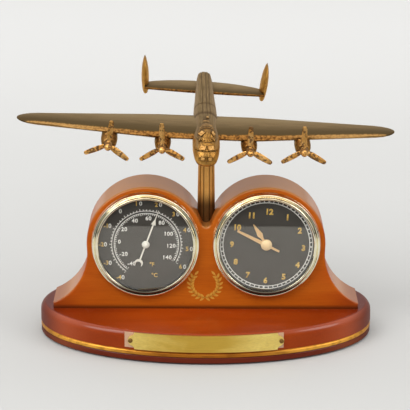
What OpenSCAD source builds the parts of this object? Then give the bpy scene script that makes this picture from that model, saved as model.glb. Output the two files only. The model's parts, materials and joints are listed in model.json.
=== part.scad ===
// Desk clock and thermometer on an oval wooden base, with a cast four-engined aircraft on a post.
// Millimetres. Origin on the table under the middle of the base, Z up, the dials face -Y.

/* [Base moulding] */
// Length of the oval base
base_len = 201.8; // [190:0.2:230]
// Depth of the oval base
base_dep = 133; // [110:1:160]
// Height of the base board without its felt
base_h = 17.6; // [15:0.2:26]
// Height of the plain board under the bead
fillet_h = 3.2; // [2:0.1:4]
// Height of the gilt bead
bead_h = 2.8; // [2:0.1:4]
// Depth of the grooves beside the bead
groove_dep = 0.9; // [0.4:0.1:1.5]
// How far the rounded top edge sets the top face back
top_setback = 3.6; // [2:0.1:6]
// How far down the side the rounding of the top edge reaches
top_round_h = 4.6; // [3:0.1:6]
// Thickness of the felt sheet under the base
felt_t = 1; // [0.6:0.1:2]
// How far the felt sheet stays inside the edge of the base
felt_inset = 3; // [1:0.5:8]

/* [Brass plate] */
// Length of the plate between its ear tips
plate_len = 91.4; // [70:0.2:100]
// How far an ear sticks out beyond the plate's straight part
ear_out = 1.6; // [1:0.1:4]
// Height of the plate
plate_h = 10.2; // [8:0.1:11]
// Thickness of the plate
plate_t = 0.8; // [0.5:0.1:1.5]
// Radius of the bite out of each corner of the plate
plate_bite_r = 2.2; // [1:0.1:3]
// Thickness of the mounting tape
tape_t = 0.3; // [0.2:0.1:1]
// Height of the mounting tape
tape_h = 9.4; // [6:0.1:9.8]
// How far the tape shows beyond the left ear
tape_over = 1.8; // [0:0.1:3]
// How far a plate pin stays inside the tip of its ear
pin_inset = 1.9; // [1.5:0.1:3]
// Shank diameter of a plate pin
plate_pin_d = 1.2; // [0.8:0.1:1.6]
// Head diameter of a plate pin
plate_pin_head_d = 2.6; // [2:0.1:3.4]
// Length of a plate pin in the base
plate_pin_len = 6; // [4:0.5:8]

/* [Wooden case] */
// Length of the case over its feet
case_len = 184.4; // [175:0.5:190]
// Thickness of the case
case_dep = 31.8; // [30:0.2:40]
// How far the case stands in front of the middle of the base
case_forward = 1.4; // [0:0.2:6]
// Radius of each hump
hump_r = 35.5; // [34.8:0.1:36]
// Distance between the dials
dial_spacing = 72.3; // [72:0.1:75]
// Height of the dials above the base top
dial_height = 40.4; // [38:0.1:46]
// Radius of the hollow sweep down to a foot
sweep_r = 33.6; // [30:0.2:38]
// Height of a foot at its tip
foot_h = 3.4; // [2:0.1:6]
// Height of the valley floor above the dials
valley_h = 10.4; // [8:0.1:14]
// Radius of the rounded front and back edges
arris_r = 1.5; // [0.8:0.1:2.5]
// Diameter of an insert's pocket
pocket_d = 60; // [59.4:0.1:60.6]
// Depth of an insert's pocket
pocket_dep = 23; // [22:0.5:25]

/* [Dial inserts] */
// Outside diameter of a bezel
bezel_d = 65; // [64.6:0.1:68]
// How far a bezel stands proud of the case
bezel_proud = 4.6; // [4.2:0.1:5.2]
// Diameter of the dial opening
opening_d = 56.6; // [55.6:0.1:57]
// Wall of the bezel's skirt
skirt_t = 0.6; // [0.4:0.05:0.7]
// Depth of the bezel's skirt behind the case face
skirt_dep = 3.4; // [2.5:0.1:4]
// Thickness of a lens
lens_t = 1; // [0.8:0.1:1.4]
// Distance from the case face back to the face of a dial
dial_depth = 0.2; // [0:0.1:0.8]
// Thickness of a dial
dial_t = 0.4; // [0.3:0.05:0.8]
// Wall of a can
can_wall = 0.7; // [0.5:0.05:1]
// Depth of a can behind the case face
can_dep = 17; // [16.6:0.1:18]
// Thickness of a can's back
can_back = 1.2; // [0.8:0.1:1.6]
// Sliding clearance of a fit-up band in its pocket
band_gap = 0.08; // [0.03:0.01:0.1]
// Number of ribs on a fit-up band
band_ribs = 4; // [2:1:6]
// Radial clearance of a turning arbor
run_gap = 0.05; // [0.02:0.01:0.08]
// Clearance between pieces that are fitted and stay put
fit_gap = 0.05; // [0.02:0.01:0.1]

/* [Clock work] */
// Radius of the minute arbor
arbor_r = 0.9; // [0.7:0.05:1.1]
// Wall of the hour pipe
pipe_wall = 0.6; // [0.4:0.05:0.8]
// Gear module of the motion work
gear_m = 0.35; // [0.32:0.01:0.38]
// Thickness of a wheel
wheel_t = 0.7; // [0.5:0.05:0.9]
// Length of the minute hand to its tip
minute_len = 19.6; // [16:0.1:24]
// Length of the hour hand to its tip
hour_len = 15; // [10:0.1:17]
// Thickness of a hand
hand_t = 0.3; // [0.2:0.05:0.4]
// Diameter of the domed hand cap
hand_cap_d = 6.6; // [5:0.1:7]
// Diameter of the minute hand's hub
hand_hub_d = 7.2; // [6:0.1:8]
// Angle of the minute hand, clockwise from twelve
minute_at = 297; // [0:1:359]
// Angle of the hour hand, clockwise from twelve
hour_at = 328; // [0:1:359]
// Width of the quartz movement across its flats
movement_w = 30; // [30:0.5:34]
// Diameter of the quartz movement across its rounded corners
movement_d = 36; // [35:0.5:38]
// Diameter of the button cell
cell_d = 11.6; // [9.5:0.1:11.6]
// Thickness of the button cell
cell_t = 5.4; // [3:0.1:5.4]
// Diameter of the battery cover
cover_d = 14.4; // [14:0.1:15]
// Diameter of the setting knob
knob_d = 8.6; // [7:0.1:10]
// Length of the setting knob behind the can
knob_len = 2.4; // [1.5:0.1:3]

/* [Thermometer work] */
// Radius of the pointer arbor
pointer_arbor_r = 0.6; // [0.4:0.05:0.8]
// Length of the pointer to its tip
pointer_len = 22.5; // [16:0.1:24]
// Length of the pointer's tail
pointer_tail = 14.2; // [9:0.1:15]
// Diameter of the pointer's hub cap
pointer_cap_d = 4.7; // [4:0.1:6]
// Angle of the pointer, clockwise from the top
pointer_at = 20.3; // [-143:0.1:122]
// Thickness of the bimetal strip
strip_t = 0.35; // [0.25:0.05:0.5]
// Width of the bimetal strip
strip_w = 2.6; // [2:0.1:3.5]
// Number of turns of the bimetal coil
coil_turns = 4; // [3:1:5]
// Space between turns of the coil, measured strip to strip
coil_gap = 1.1; // [0.9:0.1:1.3]

/* [Post] */
// Width of the post at its foot
post_foot_w = 10.8; // [10:0.1:11]
// Width of the post at its top
post_top_w = 9.5; // [8:0.1:10]
// Thickness of the post, front to back
post_t = 7.4; // [6:0.1:8]
// Depth of the post's foot in the case, below the valley floor
mortise_dep = 2; // [1:0.1:3]
// Diameter of the tie rod
rod_d = 4; // [3:0.5:4]
// Width across flats of the nut
nut_af = 7; // [6:0.5:8]
// Thickness of the nut
nut_t = 3.2; // [2.4:0.1:4]
// Diameter of the washer
washer_d = 9; // [8:0.5:10]
// Thickness of the washer
washer_t = 0.8; // [0.5:0.1:1.2]
// Depth of the nut's counterbore
nut_well_dep = 8; // [6:0.5:10]
// Diameter of a case screw
screw_d = 4; // [3.5:0.1:4.5]
// Length of a case screw
screw_len = 26; // [20:1:28]
// Distance of the case screws from the middle
screw_x = 72; // [68:1:76]

/* [Aircraft] */
// Height of the propeller axes above the base top
air_h = 104; // [95:0.2:115]
// How far the propellers stand in front of the case face
air_forward = 14; // [8:1:20]
// Nose-down angle of the aircraft
air_pitch = 5.8; // [0:0.1:10]
// Bank of the aircraft, right wing of the front view down
air_roll = 2.3; // [0:0.1:5]
// Turn of the aircraft about the post
air_yaw = 1; // [-3:0.1:3]
// Span of the wings
wing_span = 224.2; // [205:0.2:240]
// Chord of the middle of the wing
wing_chord = 40; // [32:0.5:44]
// Chord of the wing just inside its rounded tip
wing_tip_chord = 16.5; // [12:0.5:22]
// Distance of the inner engines from the middle
inner_x = 25.8; // [22:0.1:30]
// Distance of the outer engines from the middle
outer_x = 57.3; // [50:0.1:62]
// Length of an inner engine's nacelle, from the propeller
inner_nacelle = 42; // [38:0.5:46]
// Length of an outer engine's nacelle, from the propeller
outer_nacelle = 32; // [28:0.5:36]
// Distance from the propellers back to the end of the tail
tail_run = 115.5; // [108:0.5:124]
// Span of the tailplane between the fins
tail_span = 75.4; // [66:0.2:84]
// Height of a fin
fin_h = 24.5; // [20:0.5:30]
// Outward lean of a fin
fin_lean = 4.8; // [0:0.2:8]
// Diameter of a propeller
prop_d = 30; // [26:0.2:31]
// Diameter of a propeller hub
prop_hub_d = 4.8; // [4:0.1:5.4]
// Thickness of a propeller hub
prop_hub_t = 3.4; // [2.8:0.1:4]
// Shank diameter of a propeller pin
prop_pin_d = 1.4; // [1:0.1:1.8]
// Head diameter of a propeller pin
prop_pin_head_d = 4.2; // [3:0.1:4.6]
// Length of the rounded head of a propeller pin
prop_pin_head_len = 4; // [2.6:0.1:5]
// Length of a propeller pin behind the middle of the hub
prop_pin_len = 8.5; // [6:0.5:10]

/* [Hidden] */
$fn = 96;

wood = [0.62, 0.28, 0.12];
dark_wood = [0.45, 0.16, 0.09];
gilt = [0.85, 0.66, 0.3];
bronze = [0.6, 0.44, 0.24];
black = [0.09, 0.09, 0.1];

// Heights and planes that several pieces share
base_top = felt_t + base_h;
half_len = base_len / 2;
half_dep = base_dep / 2;
bead_z = felt_t + fillet_h;
band_z = bead_z + bead_h;
face_y = -case_forward - case_dep / 2;
dial_z = base_top + dial_height;
dial_x = dial_spacing / 2;
pocket_r = pocket_d / 2;
outline_steps = 72;

nut_well_r = max(washer_d / 2, nut_af / sqrt(3)) + 0.8;

// A closed skin through rings of points; every ring has as many points as the first.
// Rings run counter-clockwise as seen along the direction in which they are stacked.
// Hollow-sided end faces need a hub each: a point in the face that sees its whole edge.
module skin(rings, hubs = []) {
    m = len(rings[0]);
    n = len(rings);
    end = (n - 1) * m;
    sides = [for (i = [0:n - 2], j = [0:m - 1])
        [i * m + j, i * m + (j + 1) % m, (i + 1) * m + (j + 1) % m, (i + 1) * m + j]];
    caps = len(hubs) == 0
        ? [[for (j = [m - 1:-1:0]) j], [for (j = [0:m - 1]) end + j]]
        : [for (j = [0:m - 1], k = [0, 1])
            k == 0 ? [(j + 1) % m, j, n * m] : [end + j, end + (j + 1) % m, n * m + 1]];
    polyhedron(points = concat([for (r = rings, p = r) p], hubs), faces = concat(caps, sides), convexity = 6);
}

function arc(c, r, from, to, steps) =
    [for (i = [0:steps]) let (a = from + (to - from) * i / steps) [c[0] + r * cos(a), c[1] + r * sin(a)]];

// Oval base

// A point of the base outline, moved inwards square to the edge
function oval_point(t, inset) =
    let (nx = half_dep * cos(t), ny = half_len * sin(t), l = norm([nx, ny]))
    [half_len * cos(t) - inset * nx / l, half_dep * sin(t) - inset * ny / l];

function oval_ring(z, inset) =
    [for (i = [0:outline_steps - 1]) let (p = oval_point(-i * 360 / outline_steps, inset)) [p[0], p[1], z]];

// Height and inset of the moulding, from the underside up: fillet board, groove, bead, groove, side, round
moulding = concat(
    [[felt_t, 0.5], [felt_t + 0.4, 0.2], [bead_z - 0.4, 0.2], [bead_z, groove_dep]],
    [for (a = [-60:40:60]) [bead_z + bead_h * (1 + sin(a) * 0.85) / 2, groove_dep * (1 - cos(a))]],
    [[band_z, groove_dep], [band_z + 0.4, 0.2], [band_z + 1.2, 0]],
    [for (a = [0:15:90]) [base_top - top_round_h * (1 - sin(a)), top_setback * (1 - cos(a))]]
);

module base_plinth() {
    color(dark_wood)
    difference() {
        skin([for (p = moulding) oval_ring(p[0], p[1])]);
        translate([0, -case_forward, 0]) cylinder(d = rod_d + 0.4, h = base_top + 1);
        translate([0, -case_forward, 0]) cylinder(r = nut_well_r, h = felt_t + nut_well_dep);
        for (s = [-1, 1]) translate([s * screw_x, -case_forward, 0]) {
            cylinder(d = screw_d + 0.4, h = base_top + 1);
            cylinder(d = screw_head_d + 0.6, h = screw_head_z + screw_head_t);
        }
        for (s = [-1, 1]) plate_pin_hole(s);
    }
}

// Sheet glued under the base once the nut and the screws are in
module base_felt() {
    color("darkgreen")
    linear_extrude(felt_t)
    polygon([for (i = [0:outline_steps - 1]) oval_point(i * 360 / outline_steps, felt_inset)]);
}

// Brass plate, bent to the front of the base

plate_z = base_top - 0.1 - plate_h / 2;
ear_r = plate_h / 2 - plate_bite_r;
plate_body_len = plate_len - 2 * ear_out;
pin_x = plate_len / 2 - pin_inset;
plate_inner = -tape_t;
plate_outer = -tape_t - plate_t;

function oval_t(x) = -acos(x / half_len);

// Part of a wall along the front of the base, between two insets, from x0 to x1
module front_wall(x0, x1, inner, outer) {
    steps = 28;
    xs = [for (i = [0:steps]) x0 + (x1 - x0) * i / steps];
    translate([0, 0, felt_t])
    linear_extrude(base_h + 2)
    polygon(concat([for (x = xs) oval_point(oval_t(x), inner)],
        [for (i = [steps:-1:0]) oval_point(oval_t(xs[i]), outer)]));
}

module plate_outline() {
    difference() {
        union() {
            square([plate_body_len, plate_h], center = true);
            for (s = [-1, 1]) hull() {
                translate([s * (plate_len / 2 - ear_r), 0]) circle(r = ear_r, $fn = 32);
                translate([s * (plate_body_len / 2 - ear_r), 0]) circle(r = ear_r, $fn = 32);
            }
        }
        for (sx = [-1, 1], sy = [-1, 1])
            translate([sx * plate_body_len / 2, sy * plate_h / 2]) circle(r = plate_bite_r, $fn = 32);
    }
}

module from_front(z) {
    translate([0, 0, z]) rotate([90, 0, 0]) linear_extrude(half_dep + 5) children();
}

module name_plate() {
    color(gilt)
    difference() {
        intersection() {
            front_wall(-plate_len / 2 - 1, plate_len / 2 + 1, plate_inner, plate_outer);
            from_front(plate_z) plate_outline();
        }
        for (s = [-1, 1]) plate_pin_hole(s);
    }
}

module plate_tape() {
    color("lightgray")
    intersection() {
        front_wall(-plate_len / 2 - tape_over, plate_len / 2 - 0.3, -0.01, -tape_t + 0.02);
        difference() {
            from_front(plate_z + 0.2) square([base_len, tape_h], center = true);
            for (s = [-1, 1]) plate_pin_hole(s);
        }
    }
}

// Places children where a pin goes through the plate's ear, with +Z out of the wall
module at_ear(s) {
    p = oval_point(oval_t(s * pin_x), 0);
    n = oval_point(oval_t(s * pin_x), -1) - p;
    translate([p[0], p[1], plate_z]) rotate([90, 0, atan2(n[1], n[0]) + 90]) children();
}

module plate_pin_hole(s) {
    at_ear(s) translate([0, 0, -plate_pin_len - 0.2])
        cylinder(d = plate_pin_d + 2 * fit_gap, h = plate_pin_len + tape_t + plate_t + 1, $fn = 24);
}

module plate_pins() {
    color(gilt)
    for (s = [-1, 1]) at_ear(s) {
        translate([0, 0, -plate_pin_len])
            cylinder(d = plate_pin_d, h = plate_pin_len + tape_t + plate_t + 0.1, $fn = 24);
        translate([0, 0, tape_t + plate_t + 0.1]) intersection() {
            cylinder(d = plate_pin_head_d, h = 0.9);
            translate([0, 0, 0.9 - plate_pin_head_d]) sphere(r = plate_pin_head_d);
        }
    }
}

// Wooden case

case_half = case_len / 2;
hump_c = [dial_x, dial_height];
// Centre of the hollow sweep: it touches the hump from outside and ends on the tip of the foot
foot_tip = [case_half, foot_h];
to_foot = foot_tip - hump_c;
foot_dist = norm(to_foot);
sweep_reach = hump_r + sweep_r;
sweep_turn = acos((foot_dist ^ 2 + sweep_reach ^ 2 - sweep_r ^ 2) / (2 * foot_dist * sweep_reach));
sweep_dir = atan2(to_foot[1], to_foot[0]) + sweep_turn;
sweep_c = hump_c + sweep_reach * [cos(sweep_dir), sin(sweep_dir)];
// Round floor of the valley, which touches both humps
valley_r = (dial_x ^ 2 + valley_h ^ 2 - hump_r ^ 2) / (2 * (hump_r - valley_h));
valley_c = [0, dial_height + valley_h + valley_r];
valley_dir = atan2(valley_c[1] - dial_height, -dial_x);

// Right half of the case's outline, set in by d, from the valley out to the foot
function case_half_outline(d) =
    let (end = 180 + acos((sweep_c[0] - case_half + d) / (sweep_r + d)))
    concat(
        arc(valley_c, valley_r + d, 270, 360 + valley_dir - 180, 4),
        [for (i = [1:32]) let (a = valley_dir + (sweep_dir - valley_dir) * i / 32)
            hump_c + (hump_r - d) * [cos(a), sin(a)]],
        [for (i = [1:12]) let (a = 180 + sweep_dir + (end - 180 - sweep_dir) * i / 12)
            sweep_c + (sweep_r + d) * [cos(a), sin(a)]],
        [[case_half - d, 0]]
    );

function case_ring(y, d) =
    let (right = case_half_outline(d), k = len(right))
    concat(
        [for (i = [k - 1:-1:0]) [right[i][0], y, base_top + right[i][1]]],
        [for (i = [1:k - 1]) [-right[i][0], y, base_top + right[i][1]]]
    );

arris = [for (a = [0:30:90]) [arris_r * (1 - cos(a)), arris_r * (1 - sin(a))]];

module case_block() {
    k = len(arris);
    back_y = face_y + case_dep;
    hub_z = base_top + dial_height * 0.37;
    color(wood)
    difference() {
        skin(concat(
            [for (i = [0:k - 1]) case_ring(face_y + arris[i][0], arris[i][1])],
            [for (i = [k - 1:-1:0]) case_ring(back_y - arris[i][0], arris[i][1])]
        ), [[0, face_y, hub_z], [0, back_y, hub_z]]);
        for (s = [-1, 1]) at_dial(s) translate([0, 0, -pocket_dep])
            cylinder(d = pocket_d, h = pocket_dep + 1);
        translate([0, -case_forward, base_top - 1]) cylinder(d = rod_d + 0.4, h = dial_height + valley_h);
        translate([0, -case_forward, post_z0]) linear_extrude(hump_r)
            post_plan(post_foot_w + 2 * fit_gap, fit_gap);
        for (s = [-1, 1]) translate([s * screw_x, -case_forward, base_top - 1])
            cylinder(d = screw_d + 2 * fit_gap, h = screw_head_z + screw_len - base_top + 1.4);
    }
}

screw_head_d = screw_d * 2;
screw_head_t = screw_d * 0.6;
screw_head_z = felt_t + 4;

module case_screws() {
    color("silver")
    for (s = [-1, 1]) translate([s * screw_x, -case_forward, screw_head_z]) {
        cylinder(d1 = screw_head_d, d2 = screw_d, h = screw_head_t);
        cylinder(d = screw_d, h = screw_len - screw_d);
        translate([0, 0, screw_len - screw_d]) cylinder(d1 = screw_d, d2 = 0.6, h = screw_d);
    }
}

// Dial inserts. Their frame has its origin in the dial's centre on the case face, +Z towards the
// viewer and +Y up.

module at_dial(side) {
    translate([side * dial_x, face_y, dial_z]) rotate([90, 0, 0]) children();
}

opening_r = opening_d / 2;
bezel_r = bezel_d / 2;
lip_t = 0.9;
lens_top = bezel_proud - lip_t - 0.2;
lens_under = lens_top - lens_t;
can_r = pocket_r - skirt_t - 0.4;
can_in = can_r - can_wall;
skirt_in = can_r + fit_gap;

// Spun ring: a bead round the lens, a sharp groove, a second bead and a thin outer lip
module bezel() {
    inner_bead = 0.9;
    outer_bead = 0.75;
    color(gilt)
    rotate_extrude()
    polygon(concat(
        [[opening_r, lens_top]],
        arc([opening_r + inner_bead, bezel_proud - inner_bead], inner_bead, 180, 15, 8),
        [[(opening_r + 2 * inner_bead + bezel_r - 0.5 - 2 * outer_bead) / 2, bezel_proud - 1.5]],
        arc([bezel_r - 0.5 - outer_bead, bezel_proud - 1.75], outer_bead, 140, -30, 7),
        [[bezel_r - 0.3, 0.9], [bezel_r - 0.1, 0.8], [bezel_r, 0.6], [bezel_r, 0], [skirt_in + skirt_t, 0],
            [skirt_in + skirt_t, -skirt_dep], [skirt_in, -skirt_dep], [skirt_in, lens_top]]
    ));
}

module lens() {
    color([0.8, 0.85, 0.88, 0.3])
    translate([0, 0, lens_under]) {
        cylinder(r = can_r, h = lens_t - 0.25);
        translate([0, 0, lens_t - 0.25]) cylinder(r1 = can_r, r2 = can_r - 0.25, h = 0.25);
    }
}

// A printed dial with a hole for what turns in it
module dial(hole_r) {
    color(black)
    translate([0, 0, -dial_depth - dial_t]) difference() {
        cylinder(r = can_in - fit_gap, h = dial_t);
        translate([0, 0, -1]) cylinder(r = hole_r, h = dial_t + 2);
    }
}

ledge_z = -dial_depth - dial_t;
shoulder_z = ledge_z - 1.4;

// Cup that holds lens, dial and work; the step at the back of its mouth carries the band
module can() {
    color(black)
    difference() {
        rotate_extrude()
        polygon([
            [0, -can_dep], [can_in - 1.2, -can_dep], [can_in, -can_dep + 1.2], [can_in, shoulder_z],
            [can_r, shoulder_z + 0.7], [can_r, lens_under], [can_in, lens_under], [can_in, ledge_z],
            [can_in - 1.3, ledge_z], [can_in - 1.3, -can_dep + can_back], [0, -can_dep + can_back]
        ]);
        children();
    }
}

band_z0 = -can_dep + 1.6;
band_z1 = min(-skirt_dep, shoulder_z) - 0.1;

module band() {
    rib_h = (band_z1 - band_z0) / band_ribs;
    color([0.2, 0.2, 0.2])
    rotate_extrude()
    polygon(concat(
        [[can_in + fit_gap, band_z0], [can_in + 0.7, band_z0]],
        [for (i = [0:band_ribs - 1], p = [[0.35, 0], [0.5, 1], [0.75, 1], [0.9, 0]])
            [p[1] == 1 ? pocket_r - band_gap : can_in + 0.7, band_z0 + (i + p[0]) * rib_h]],
        [[can_in + 0.7, band_z1], [can_in + fit_gap, band_z1]]
    ));
}

module clock_bezel() { at_dial(1) bezel(); }
module clock_lens() { at_dial(1) lens(); }
module clock_dial() { at_dial(1) dial(pipe_out + 0.15); }
module clock_band() { at_dial(1) band(); }
module thermometer_bezel() { at_dial(-1) bezel(); }
module thermometer_lens() { at_dial(-1) lens(); }
module thermometer_dial() { at_dial(-1) dial(pointer_arbor_r + run_gap); }
module thermometer_can() { at_dial(-1) can(); }
module thermometer_band() { at_dial(-1) band(); }

// The clock's can is open for the battery cover and the setting knob's arbor
module clock_can() {
    at_dial(1) can() {
        translate([cell_c[0], cell_c[1], -can_dep - 1]) cylinder(d = cover_d, h = can_back + 2);
        translate([setting_c[0], setting_c[1], -can_dep - 1])
            cylinder(r = setting_r + run_gap, h = can_back + 2);
    }
}

// Clock work. The motion work turns the hour wheel once for twelve turns of the minute arbor:
// 10 teeth into 30, then 8 into 32. Both pairs of wheels add up to 40 teeth, so one distance suits both.

cannon_teeth = 10;
minute_teeth = 30;
pinion_teeth = 8;
hour_teeth = 32;
arbor_top = lens_under - 0.5;
hour_hand_z = 0.4 - dial_depth;
minute_hand_z = hour_hand_z + hand_t + 0.5;
pipe_in = arbor_r + run_gap;
pipe_out = pipe_in + pipe_wall;
hour_wheel_z = ledge_z - 1 - wheel_t;
minute_wheel_z = hour_wheel_z - 1.3 - wheel_t;
plate_face_z = minute_wheel_z - 0.5;
movement_back_z = -can_dep + can_back + 0.2;
mesh_d = gear_m * (cannon_teeth + minute_teeth) / 2;
stud_r = 0.5;
minute_c = [-mesh_d, 0];
setting_c = [-mesh_d, -mesh_d];
setting_r = 0.8;
cell_c = [8.2, 4.6];

// Spur wheel with n teeth; the first tooth points along +X turned by phase
module gear(n, phase, bore) {
    tip = gear_m * (n / 2 + 0.9);
    root = gear_m * (n / 2 - 1.15);
    step = 360 / n;
    linear_extrude(wheel_t)
    difference() {
        polygon([for (i = [0:n - 1], p = [[-0.32, root], [-0.2, gear_m * n / 2], [-0.09, tip],
            [0.09, tip], [0.2, gear_m * n / 2], [0.32, root]])
            p[1] * [cos(phase + (i + p[0]) * step), sin(phase + (i + p[0]) * step)]]);
        if (bore > 0) circle(r = bore);
    }
}

module quartz_movement() {
    color([0.85, 0.85, 0.8])
    at_dial(1) {
        difference() {
            translate([0, 0, movement_back_z]) intersection() {
                cylinder(d = movement_d, h = plate_face_z - movement_back_z);
                translate([-movement_w / 2, -movement_w / 2, 0])
                    cube([movement_w, movement_w, plate_face_z - movement_back_z]);
            }
            translate([0, 0, movement_back_z + 2]) cylinder(r = pipe_in, h = can_dep);
            translate([cell_c[0], cell_c[1], movement_back_z - 1])
                cylinder(d = cell_d + 0.4, h = cell_t + 1.2);
            translate([setting_c[0], setting_c[1], movement_back_z - 1])
                cylinder(r = setting_r + run_gap, h = can_dep);
        }
        translate([minute_c[0], minute_c[1], plate_face_z - 0.4])
            cylinder(r = stud_r, h = hour_wheel_z + wheel_t + 0.4 - plate_face_z + 0.2);
        for (a = [45:90:315]) rotate(a) translate([movement_d / 2 - 1, 0, plate_face_z - 1]) post_to_dial();
    }
}

// Pillar from the movement's corner to the back of the dial
module post_to_dial() {
    cylinder(r = 0.9, h = ledge_z - plate_face_z + 1 - fit_gap);
}

module button_cell() {
    color("silver")
    at_dial(1) translate([cell_c[0], cell_c[1], movement_back_z]) {
        cylinder(d = cell_d, h = cell_t - 0.9);
        translate([0, 0, cell_t - 0.9]) cylinder(d = cell_d - 1.6, h = 0.9);
    }
}

module battery_cover() {
    color([0.2, 0.2, 0.2])
    at_dial(1) translate([cell_c[0], cell_c[1], -can_dep]) difference() {
        union() {
            translate([0, 0, -0.5]) cylinder(d = cover_d - 2 * run_gap, h = can_back + 0.5);
            translate([0, 0, -0.5]) cylinder(d = cover_d + 1.2, h = 0.5 - run_gap);
        }
        translate([-4, -0.6, -1]) cube([8, 1.2, 1.3]);
    }
}

module minute_arbor() {
    color(gilt)
    at_dial(1) {
        translate([0, 0, movement_back_z + 2.2]) cylinder(r = arbor_r, h = arbor_top - movement_back_z - 2.2);
        translate([0, 0, minute_wheel_z]) gear(cannon_teeth, 0, 0);
    }
}

module minute_wheel() {
    color(gilt)
    at_dial(1) translate([minute_c[0], minute_c[1], 0]) {
        translate([0, 0, minute_wheel_z]) gear(minute_teeth, 180 / minute_teeth, stud_r + run_gap);
        for (i = [0:2]) translate([0, 0, minute_wheel_z + (i + 1) * wheel_t])
            gear(pinion_teeth, 0, stud_r + run_gap);
    }
}

module hour_wheel() {
    color(gilt)
    at_dial(1) difference() {
        union() {
            translate([0, 0, hour_wheel_z]) gear(hour_teeth, 180 / hour_teeth, 0);
            translate([0, 0, hour_wheel_z])
                cylinder(r = pipe_out, h = hour_hand_z + hand_t + 0.2 - hour_wheel_z);
        }
        translate([0, 0, hour_wheel_z - 1]) cylinder(r = pipe_in, h = 10);
    }
}

module setting_knob() {
    color([0.15, 0.15, 0.15])
    at_dial(1) translate([setting_c[0], setting_c[1], 0]) {
        translate([0, 0, minute_wheel_z]) gear(cannon_teeth, 0, 0);
        translate([0, 0, -can_dep - 0.3]) cylinder(r = setting_r, h = minute_wheel_z + can_dep + 0.3);
        translate([0, 0, -can_dep - 0.3 - knob_len]) {
            cylinder(d = knob_d - 0.8, h = knob_len);
            for (a = [0:30:330]) rotate(a) translate([knob_d / 2 - 0.6, 0, 0])
                cylinder(r = 0.6, h = knob_len, $fn = 16);
        }
    }
}

// Sword hand along +Y: half widths of its waist and of its belly, and where along it the belly is
module sword(len, waist, belly, belly_at) {
    linear_extrude(hand_t)
    polygon([[-waist, 0], [-belly, belly_at * len], [0, len], [belly, belly_at * len], [waist, 0]]);
}

module minute_hand() {
    color([0.8, 0.55, 0.35])
    at_dial(1) rotate(-minute_at) translate([0, 0, minute_hand_z]) difference() {
        union() {
            cylinder(d = hand_hub_d, h = hand_t);
            sword(minute_len, 0.8, 1.25, 0.4);
            rotate(180) sword(7.2, 0.8, 1, 0.6);
        }
        translate([0, 0, -1]) cylinder(r = arbor_r + fit_gap, h = hand_t + 2);
    }
}

module hour_hand() {
    color([0.8, 0.55, 0.35])
    at_dial(1) rotate(-hour_at) translate([0, 0, hour_hand_z]) difference() {
        union() {
            cylinder(d = hand_hub_d - 1, h = hand_t);
            sword(hour_len, 0.9, 1.8, 0.47);
        }
        translate([0, 0, -1]) cylinder(r = pipe_out + fit_gap, h = hand_t + 2);
    }
}

// Dome of diameter d and height h, with a blind hole for its arbor
module dome(d, h, hole_r, hole_h) {
    r = (d * d / 4 + h * h) / (2 * h);
    difference() {
        intersection() {
            translate([0, 0, h - r]) sphere(r = r);
            cylinder(d = d, h = h);
        }
        translate([0, 0, -1]) cylinder(r = hole_r, h = hole_h + 1);
    }
}

module hand_cap() {
    color([0.8, 0.55, 0.35])
    at_dial(1) translate([0, 0, minute_hand_z + hand_t])
        dome(hand_cap_d, lens_under - 0.15 - minute_hand_z - hand_t, arbor_r + fit_gap,
            arbor_top - minute_hand_z - hand_t + 0.05);
}

// Thermometer work

pointer_z = 0.7 - dial_depth;
pointer_cap_h = min(1.5, lens_under - 0.15 - pointer_z - hand_t);
coil_z = ledge_z - 2.2 - strip_w;
coil_in = pointer_arbor_r + fit_gap;
coil_pitch = coil_gap + strip_t;
coil_out = coil_in + coil_turns * coil_pitch;
anchor_x = coil_out + strip_t;
bridge_z = coil_z - 1.8;

module pointer_arbor() {
    color("silver")
    at_dial(-1) translate([0, 0, bridge_z - 0.6])
        cylinder(r = pointer_arbor_r, h = pointer_z + hand_t + pointer_cap_h - bridge_z);
}

module pointer() {
    head = 0.58 * pointer_len;
    neck = 0.74 * pointer_len;
    moon = 1.8 - pointer_tail;
    color("ivory")
    at_dial(-1) rotate(-pointer_at) translate([0, 0, pointer_z]) difference() {
        union() {
            cylinder(d = pointer_cap_d - 0.6, h = hand_t);
            linear_extrude(hand_t) polygon([
                [-0.45, moon + 2], [-0.45, head + 0.1], [-1.5, head], [-0.28, neck], [-0.16, pointer_len],
                [0.16, pointer_len], [0.28, neck], [1.5, head], [0.45, head + 0.1], [0.45, moon + 2]
            ]);
            difference() {
                translate([0, moon, 0]) cylinder(r = 2.55, h = hand_t);
                translate([0, moon - 0.9, -1]) cylinder(r = 1.9, h = hand_t + 2);
                translate([-3, moon - 3.8, -1]) cube([6, 2.4, hand_t + 2]);
            }
        }
        translate([0, 0, -1]) cylinder(r = pointer_arbor_r + fit_gap, h = hand_t + 2);
    }
}

module pointer_cap() {
    color("ivory")
    at_dial(-1) translate([0, 0, pointer_z + hand_t])
        dome(pointer_cap_d, pointer_cap_h, pointer_arbor_r + fit_gap, pointer_cap_h - 0.55);
}

// Strip wound from the arbor out to the anchor
module bimetal_coil() {
    per_turn = 20;
    n = coil_turns * per_turn;
    spiral = [for (i = [0:n]) [coil_in + strip_t / 2 + 0.02 + (coil_out - coil_in - strip_t / 2) * i / n,
        i * 360 / per_turn]];
    color("goldenrod")
    at_dial(-1) translate([0, 0, coil_z]) linear_extrude(strip_w) polygon(concat(
        [for (p = spiral) (p[0] + strip_t / 2) * [cos(p[1]), sin(p[1])]],
        [for (i = [n:-1:0]) let (p = spiral[i]) (p[0] - strip_t / 2) * [cos(p[1]), sin(p[1])]]
    ));
}

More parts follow.
